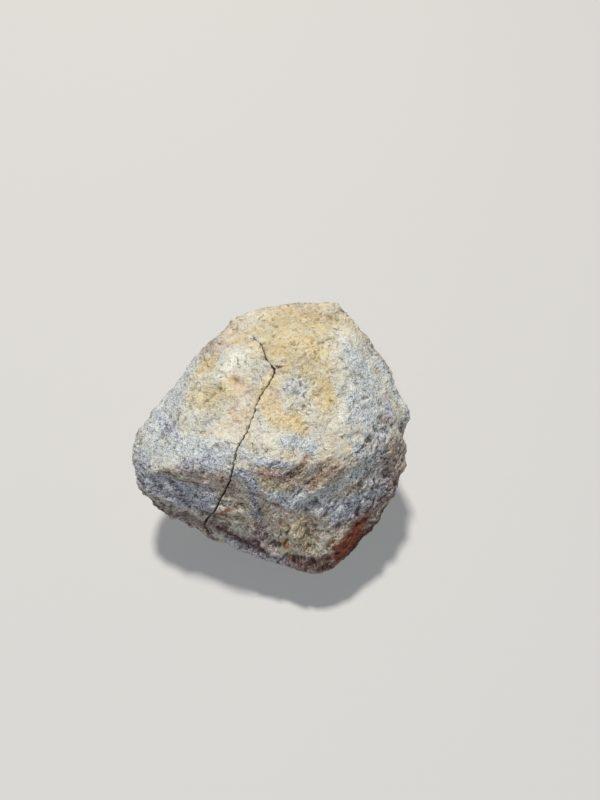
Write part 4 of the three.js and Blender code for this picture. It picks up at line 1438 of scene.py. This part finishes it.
@dataclass(frozen=True)
class Rind:
    """The gritty weathered rind.

    Attributes:
        cream, sand, pale, earth: The mottled ground; earth shows only on broken stone.
        ochre to the dark red tone: One paint for each tone; the violet-brown tone is partly, and the dark
            red tone wholly, painted shade with a painted red reflection.
        shade_paint: Painted shade in the hollows, grooves, grain streaks and flake edges.
        crack_painted_shade, spur_painted_shade: Painted shade inside the crack and inside its branch.
        dark_grain, light_grain_and_highlight, crumb_shade: Colours of the dark and light grains; the light
        one also paints highlights on crumb crests, and crumb_shade paints shadow between crumbs.
        roughness, gloss: How dull the surface is and how strong its highlight.
        bump_height: Height of the finest relief, in millimetres.
    """

    cream: Colour = srgb(214, 208, 188)
    sand: Colour = srgb(208, 190, 158)
    earth: Colour = srgb(190, 166, 142)
    pale: Colour = srgb(204, 208, 202)
    ochre: Colour = srgb(212, 193, 146)
    gold: Colour = srgb(211, 185, 128)
    blush: Colour = srgb(204, 174, 150)
    chalk: Colour = srgb(232, 230, 214)
    frost: Colour = srgb(220, 228, 229)
    slate: Colour = srgb(170, 175, 198)
    umber: Colour = srgb(150, 114, 88)
    # violet-brown stone; on the lower front it also paints shade with a painted red reflection
    mauve_and_painted_shade: Colour = srgb(122, 92, 104)
    rust: Colour = srgb(128, 50, 24)
    # painted shade with a painted red reflection, along the lower edges
    painted_red_shade: Colour = srgb(82, 42, 45)
    # painted shade, multiplied into hollows, grooves, grain streaks and flake edges
    shade_paint: Colour = srgb(150, 132, 118)
    # painted shade inside the crack and inside its branch
    crack_painted_shade: Colour = srgb(70, 56, 46)
    spur_painted_shade: Colour = srgb(120, 92, 80)
    dark_grain: Colour = srgb(62, 62, 84)
    # the light grains' colour also paints highlights on crumb crests, and the colour after it paints shadow
    # between crumbs
    light_grain_and_highlight: Colour = srgb(240, 240, 238)
    crumb_shade: Colour = srgb(104, 94, 92)
    roughness: float = 0.92
    gloss: float = 0.2
    bump_height: float = 0.45

    def make(self) -> bpy.types.Material:
        """Joins the colour, the roughness and the bumps in one shader.

        Returns:
            The rind's material.
        """
        material = bpy.data.materials.new("rind_weathered")
        material.use_nodes = True
        sheet = SkinSheet(material.node_tree)
        colour, grit = self.speckled(sheet, self.stained(sheet))
        colour = self.painted_shade_and_highlights(sheet, colour)
        flake = self.flake_edges(sheet)
        # painted shadow along the flake edges, which the bump also raises
        colour = sheet.darkened(sheet.times(flake, 0.65), colour, self.shade_paint)
        shader = sheet.add("ShaderNodeBsdfPrincipled", colour)
        uneven = 0.16
        duller = sheet.noise(0.6, 2, 0.5, 7)
        sheet.feed(shader.inputs["Roughness"], sheet.line(duller, uneven, self.roughness - uneven / 2))
        sheet.feed(shader.inputs["Specular IOR Level"], self.gloss)
        sheet.feed(shader.inputs["Normal"], self.bumped(sheet, grit, flake))
        sheet.add("ShaderNodeOutputMaterial", shader.outputs["BSDF"])
        return material

    def stained(self, sheet: SkinSheet) -> Socket:
        """The tones laid over a mottled ground, each with a border that fine noise dissolves.

        Args:
            sheet: The material's nodes.

        Returns:
            The stained colour.
        """
        sandy = sheet.ramp(sheet.noise(3.2, 5, 0.6, 1), 0.45, 0.62)
        pale = sheet.ramp(sheet.noise(2.6, 5, 0.6, 2), 0.48, 0.64)
        earthy = sheet.ramp(sheet.noise(3.5, 5, 0.65, 8), 0.35, 0.65)
        colour = sheet.blend(sheet.times(sandy, 0.8), self.cream, self.sand)
        colour = sheet.blend(sheet.times(pale, 0.7), colour, self.pale)
        earthy = sheet.times(earthy, sheet.mask("broken"))
        colour = sheet.blend(sheet.times(earthy, 0.75), colour, self.earth)
        # how much of the ground a tone hides at most, and how far noise frays its border
        most_and_ragged = {
            Tone.OCHRE: (0.85, 1.5), Tone.BLUSH: (0.8, 1.3), Tone.CHALK: (0.85, 1.5),
            Tone.FROST: (0.85, 1.5), Tone.GOLD: (0.85, 1.4), Tone.UMBER: (0.85, 1.2),
            Tone.SLATE: (0.8, 1.4), Tone.MAUVE_AND_PAINTED_SHADE: (0.85, 1.1), Tone.RUST: (0.95, 1.0),
            Tone.PAINTED_RED_SHADE: (0.9, 1.1),
        }
        for number, (tone, (most, ragged)) in enumerate(most_and_ragged.items()):
            fray = sheet.maths("SUBTRACT", sheet.noise(1.1, 6, 0.72, 10 + number), 0.5)
            raw = sheet.maths("ADD", sheet.mask(tone), sheet.times(fray, ragged))
            share = sheet.times(sheet.ramp(raw, 0.1, 0.95), most)
            colour = sheet.blend(share, colour, getattr(self, tone.value))
        mottle = sheet.noise(1.5, 5, 0.7, 33)
        golden = sheet.times(sheet.ramp(mottle, 0.54, 0.66), sheet.mask(Tone.OCHRE))
        colour = sheet.blend(sheet.times(golden, 0.6), colour, self.gold)
        crust = sheet.maths("SUBTRACT", 1.0, sheet.mask("broken"))
        chalky = sheet.times(sheet.ramp(mottle, 0.46, 0.34), crust)
        return sheet.blend(sheet.times(chalky, 0.55), colour, self.chalk)

    def speckled(self, sheet: SkinSheet, colour: Socket) -> tuple[Socket, Socket]:
        """Dark and light grains over a colour, thickest on the frosted and slate stone, with painted shadow
        and highlights on fine crumbs.

        Args:
            sheet: The material's nodes.
            colour: The stained colour.

        Returns:
            The colour with its grains, and the grains' height.
        """
        slate = sheet.mask(Tone.SLATE)
        grey = sheet.maths("MAXIMUM", slate, sheet.times(sheet.mask(Tone.FROST), 0.55))
        amount = sheet.maths("MAXIMUM", grey, sheet.times(sheet.mask("broken"), 0.7))
        bare = self.grainless(sheet)
        amount = sheet.times(sheet.line(self.crumbly(sheet), 0.15, amount), bare)
        wavy = sheet.vectors("ADD", sheet.place, sheet.drift(3.0, 2, 0.5, (-0.25,) * 3))
        dark_share = sheet.line(slate, 0.16, sheet.line(amount, 0.22, 0.025))
        light_share = sheet.line(amount, 0.3, 0.1)
        dark_most = sheet.line(amount, 0.4, 0.4)
        light_most = sheet.times(sheet.line(slate, 0.4, 0.35), bare)
        heights = []
        for per_mm, dark, light in (
            (2.5, sheet.times(dark_most, 0.7), sheet.times(light_most, 0.8)),
            (4.2, dark_most, light_most),
        ):
            grit = GritGroup.put(sheet, wavy, per_mm, dark_share, light_share)
            colour = sheet.blend(sheet.times(grit["Dark"], dark), colour, self.dark_grain)
            colour = sheet.blend(sheet.times(grit["Light"], light), colour, self.light_grain_and_highlight)
            heights.append(grit["Height"])
        # painted shadow in the dents between fine crumbs, and painted highlights on their crests
        crumbs = sheet.noise(0.22, 1, 0.8, 21)
        shade = sheet.times(sheet.ramp(crumbs, 0.5, 0.32), sheet.line(amount, 0.5, 0.2))
        colour = sheet.darkened(shade, colour, self.crumb_shade)
        crests = sheet.times(sheet.ramp(crumbs, 0.54, 0.7), sheet.times(sheet.line(amount, 0.35, 0.2), bare))
        colour = self.clumped(sheet, sheet.blend(crests, colour, self.light_grain_and_highlight), slate)
        return colour, sheet.maths("ADD", heights[0], sheet.times(heights[1], 0.5))

    def crumbly(self, sheet: SkinSheet) -> Socket:
        """Broad patches, 0 to 1, where the crust is crumbly."""
        return sheet.ramp(sheet.noise(3.0, 3, 0.6, 22), 0.36, 0.6)

    def grainless(self, sheet: SkinSheet) -> Socket:
        """Nearly 0 where iron has stained the stone smooth and dark, and on the painted shade with its red
        reflection; 1 elsewhere.
        """
        return sheet.line(sheet.maths("MAXIMUM", sheet.mask(Tone.RUST), sheet.mask(Tone.PAINTED_RED_SHADE)), -0.9, 1.0)

    def clumped(self, sheet: SkinSheet, colour: Socket, slate: Socket) -> Socket:
        """Clumps of dark and pale grains on the slate stone, and dark hollows in the frosted crust.

        Args:
            sheet: The material's nodes.
            colour: The colour with its single grains.
            slate: The mask of the slate stone.

        Returns:
            The colour with its clumps.
        """
        clump = sheet.noise(0.6, 4, 0.8, 30)
        dark = sheet.times(sheet.ramp(clump, 0.47, 0.38), sheet.times(slate, 0.65))
        colour = sheet.blend(dark, colour, self.dark_grain)
        pale = sheet.times(sheet.ramp(clump, 0.51, 0.6), sheet.times(slate, 0.85))
        colour = sheet.blend(pale, colour, self.frost)
        patch = sheet.ramp(sheet.noise(2.2, 5, 0.65, 31), 0.52, 0.64)
        patch = sheet.times(patch, sheet.mask(Tone.FROST))
        return sheet.darkened(sheet.times(patch, 0.35), colour, self.slate)

    def painted_shade_and_highlights(self, sheet: SkinSheet, colour: Socket) -> Socket:
        """Painted shade in hollows, grooves and grain streaks, painted highlights on crests, and painted
        shade in the crack and its branch.

        Args:
            sheet: The material's nodes.
            colour: The colour with its grains.

        Returns:
            The colour with its painted shade and highlights.
        """
        broken, groove = sheet.mask("broken"), sheet.mask("groove")
        # painted shade in patches where the skin lies below its wider surroundings
        patchy = sheet.ramp(sheet.noise(1.2, 4, 0.65, 5), 0.3, 0.7)
        hollow = sheet.times(sheet.ramp(sheet.mask("hollow"), 0.1, 1.3), patchy)
        colour = sheet.darkened(sheet.times(hollow, 0.65), colour, self.shade_paint)
        # painted shade in the grooves, stronger on broken stone
        in_groove = sheet.times(sheet.ramp(groove, 0.1, 1.0), sheet.line(broken, 0.3, 0.4))
        colour = sheet.darkened(in_groove, colour, self.shade_paint)
        # painted shade along the grain's streaks on broken stone
        streak = sheet.times(sheet.ramp(self.grain(sheet), 0.42, 0.3), sheet.ramp(broken, 0.6, 1.0))
        colour = sheet.darkened(sheet.times(streak, 0.7), colour, self.shade_paint)
        # painted highlight on crests that stand above their surroundings
        crest = sheet.times(sheet.ramp(groove, -0.1, -1.0), self.grainless(sheet))
        colour = sheet.blend(sheet.times(crest, 0.35), colour, self.chalk)
        # painted shade inside the crack and its branch
        ragged = sheet.maths("SUBTRACT", sheet.noise(0.3, 3, 0.6, 6), 0.5)
        for name, low, high, fill in (
            ("spur", -0.06, 0.1, self.spur_painted_shade),
            ("crack", -0.05, 0.06, self.crack_painted_shade),
        ):
            inside = sheet.line(ragged, 0.16, sheet.mask(name))
            colour = sheet.blend(sheet.ramp(inside, low, high), colour, fill)
        return colour

    def grain(self, sheet: SkinSheet) -> Socket:
        """Fine noise drawn out along the grain, 0 to 1, only on broken stone.

        Args:
            sheet: The material's nodes.

        Returns:
            The noise's value.
        """
        squeeze = 1 - 1 / GRAIN_STRETCH
        right, left = (
            sheet.noise(0.45, 4, 0.7, seed, GrainGroup.put(sheet, sheet.place, way, squeeze)["Place"])
            for way, seed in ((GRAIN_RIGHT, 12), (GRAIN_LEFT, 13))
        )
        side = sheet.ramp(sheet.add("ShaderNodeSeparateXYZ", sheet.place).outputs[0], -6, 1)
        drawn = sheet.times(right, side)
        rest = sheet.times(left, sheet.maths("SUBTRACT", 1.0, side))
        return sheet.times(sheet.maths("ADD", drawn, rest), sheet.mask("broken"))

    def flake_edges(self, sheet: SkinSheet) -> Socket:
        """Short fine cracks where the light crust flakes: parts of the borders of warped cells.

        Args:
            sheet: The material's nodes.

        Returns:
            1 on a flake's edge and 0 away from it.
        """
        warped = sheet.drift(0.9, 3, 1.6, sheet.place)
        cells = sheet.add("ShaderNodeTexVoronoi", warped, feature="DISTANCE_TO_EDGE")
        sheet.feed(cells.inputs["Scale"], 0.6)
        border = sheet.ramp(cells.outputs["Distance"], 0.075, 0.02)
        part = sheet.ramp(sheet.noise(1.2, 2, 0.5, 32), 0.54, 0.68)
        return sheet.times(sheet.times(border, part), self.grainless(sheet))

    def bumped(self, sheet: SkinSheet, grit: Socket, flake: Socket) -> Socket:
        """The normal: sandy grains and flake edges over a fine crumbly roughness.

        Args:
            sheet: The material's nodes.
            grit: The grains' height.
            flake: Where flakes have their edges.

        Returns:
            The surface's normal.
        """
        broken = sheet.mask("broken")
        patchy = sheet.maths("MAXIMUM", self.crumbly(sheet), sheet.times(broken, 0.6))
        crumb = sheet.times(sheet.noise(0.5, 5, 0.75, 11), sheet.line(patchy, 0.8, 0.45))
        gritty = sheet.maths("MAXIMUM", broken, sheet.mask(Tone.FROST))
        height = sheet.maths("ADD", sheet.times(grit, sheet.line(gritty, 0.4, 0.2)), crumb)
        height = sheet.maths("ADD", height, sheet.times(self.grain(sheet), 1.3))
        height = sheet.maths("SUBTRACT", height, sheet.times(flake, 0.5))
        bump = sheet.add("ShaderNodeBump")
        for name, value in (("Strength", 1.0), ("Distance", self.bump_height * MM), ("Height", height)):
            sheet.feed(bump.inputs[name], value)
        return bump.outputs["Normal"]


@dataclass(frozen=True)
class StudioFloor:
    """A plain pale floor."""

    width: float = 3.0
    colour: Colour = srgb(190, 188, 184)
    roughness: float = 0.9

    def build(self) -> bpy.types.Object:
        """Makes the floor, level with the stone's flat spot.

        Returns:
            The floor.
        """
        mesh = bpy.data.meshes.new("studio_floor")
        half = self.width / 2
        level = CAD_BOX[0][2]
        corners = [(x, y, level) for x, y in ((-half, -half), (half, -half), (half, half), (-half, half))]
        mesh.from_pydata(corners, [], [(0, 1, 2, 3)])
        floor = bpy.data.objects.new("studio_floor", mesh)
        bpy.context.scene.collection.objects.link(floor)
        material = bpy.data.materials.new("floor_matt")
        material.use_nodes = True
        shader = material.node_tree.nodes["Principled BSDF"]
        shader.inputs["Base Color"].default_value = (*self.colour, 1.0)
        shader.inputs["Roughness"].default_value = self.roughness
        mesh.materials.append(material)
        return floor


# ---- light and camera ---------------------------------------------------------------------------

@dataclass(frozen=True)
class Lamp:
    """One soft square light that faces a target.

    Attributes:
        name: What it is called.
        azimuth: Degrees round from +X, seen from above.
        height: Degrees above the floor.
        distance: From the target, in metres.
        width: Side of the square, in metres.
        power: In watts.
        colour: Its linear colour.
    """

    name: str
    azimuth: float
    height: float
    distance: float
    width: float
    power: float
    colour: Colour

    def build(self, target: Vector) -> bpy.types.Object:
        """Makes the light and turns it to the target.

        Args:
            target: The place that it faces, in metres.

        Returns:
            The light.
        """
        data = bpy.data.lights.new(self.name, "AREA")
        data.shape = "SQUARE"
        data.size = self.width
        data.energy = self.power
        data.color = self.colour
        lamp = bpy.data.objects.new(self.name, data)
        round_angle, up_angle = np.radians(self.azimuth), np.radians(self.height)
        towards = Vector((
            np.cos(up_angle) * np.cos(round_angle), np.cos(up_angle) * np.sin(round_angle), np.sin(up_angle)
        ))
        lamp.location = target + towards * self.distance
        lamp.rotation_euler = towards.to_track_quat("Z", "Y").to_euler()
        bpy.context.scene.collection.objects.link(lamp)
        return lamp


@dataclass(frozen=True)
class Studio:
    """The lights, the pale surroundings and the camera.

    Attributes:
        lamps: The lights.
        surround: Brightness of the pale surroundings.
        surround_colour: Their linear colour.
        camera_offset: From the stone's centre to the camera, in millimetres.
        camera_dip: How far below level the camera looks, in degrees.
        lens: Focal length in millimetres.
        sensor: The sensor's height in millimetres.
        nearest: Nearest distance that the camera shows, in metres.
    """

    lamps: tuple[Lamp, ...] = (
        Lamp("key", 102, 64, 1.2, 0.12, 14.7, (1.0, 0.97, 0.93)),
        Lamp("fill", -100, 56, 1.2, 0.16, 7.8, (0.88, 0.93, 1.0)),
    )
    surround: float = 0.08
    surround_colour: Colour = (0.88, 0.94, 1.0)
    camera_offset: Point = (5.55, -55.56, 96.34)
    camera_dip: float = 56.5
    lens: float = 27.0
    sensor: float = 36.0
    nearest: float = 0.005

    def build(self, centre: Vector) -> None:
        """Sets up the lights, the surroundings and the camera around the stone's centre.

        Args:
            centre: The stone's centre, in metres.
        """
        for lamp in self.lamps:
            lamp.build(centre)
        world = bpy.data.worlds.new("pale_surround")
        world.use_nodes = True
        background = world.node_tree.nodes["Background"].inputs
        background["Color"].default_value = (*self.surround_colour, 1)
        background["Strength"].default_value = self.surround
        scene = bpy.context.scene
        scene.world = world
        scene.view_settings.view_transform = "Standard"
        data = bpy.data.cameras.new("camera")
        data.sensor_fit = "VERTICAL"
        data.sensor_height = self.sensor
        data.lens = self.lens
        data.clip_start = self.nearest
        camera = bpy.data.objects.new("camera", data)
        camera.location = centre + Vector(self.camera_offset) * MM
        camera.rotation_euler = Euler((np.radians(90 - self.camera_dip), 0, 0))
        scene.collection.objects.link(camera)
        scene.camera = camera


def write_sizes() -> None:
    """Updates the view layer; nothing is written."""
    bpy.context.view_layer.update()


def main() -> None:
    """Builds the stone, its finish, the floor, the lights and the camera."""
    logging.basicConfig(level=logging.INFO, format="%(name)s: %(message)s")
    skin = StoneSkin()
    stone = skin.build()
    stone.data.materials.append(Rind().make())
    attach(stone, "root")
    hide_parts(NODE)
    StudioFloor().build()
    Studio().build(skin.centre)
    write_sizes()
    LOG.info("stone, floor, lights and camera are in place")


if __name__ == "__main__":
    main()
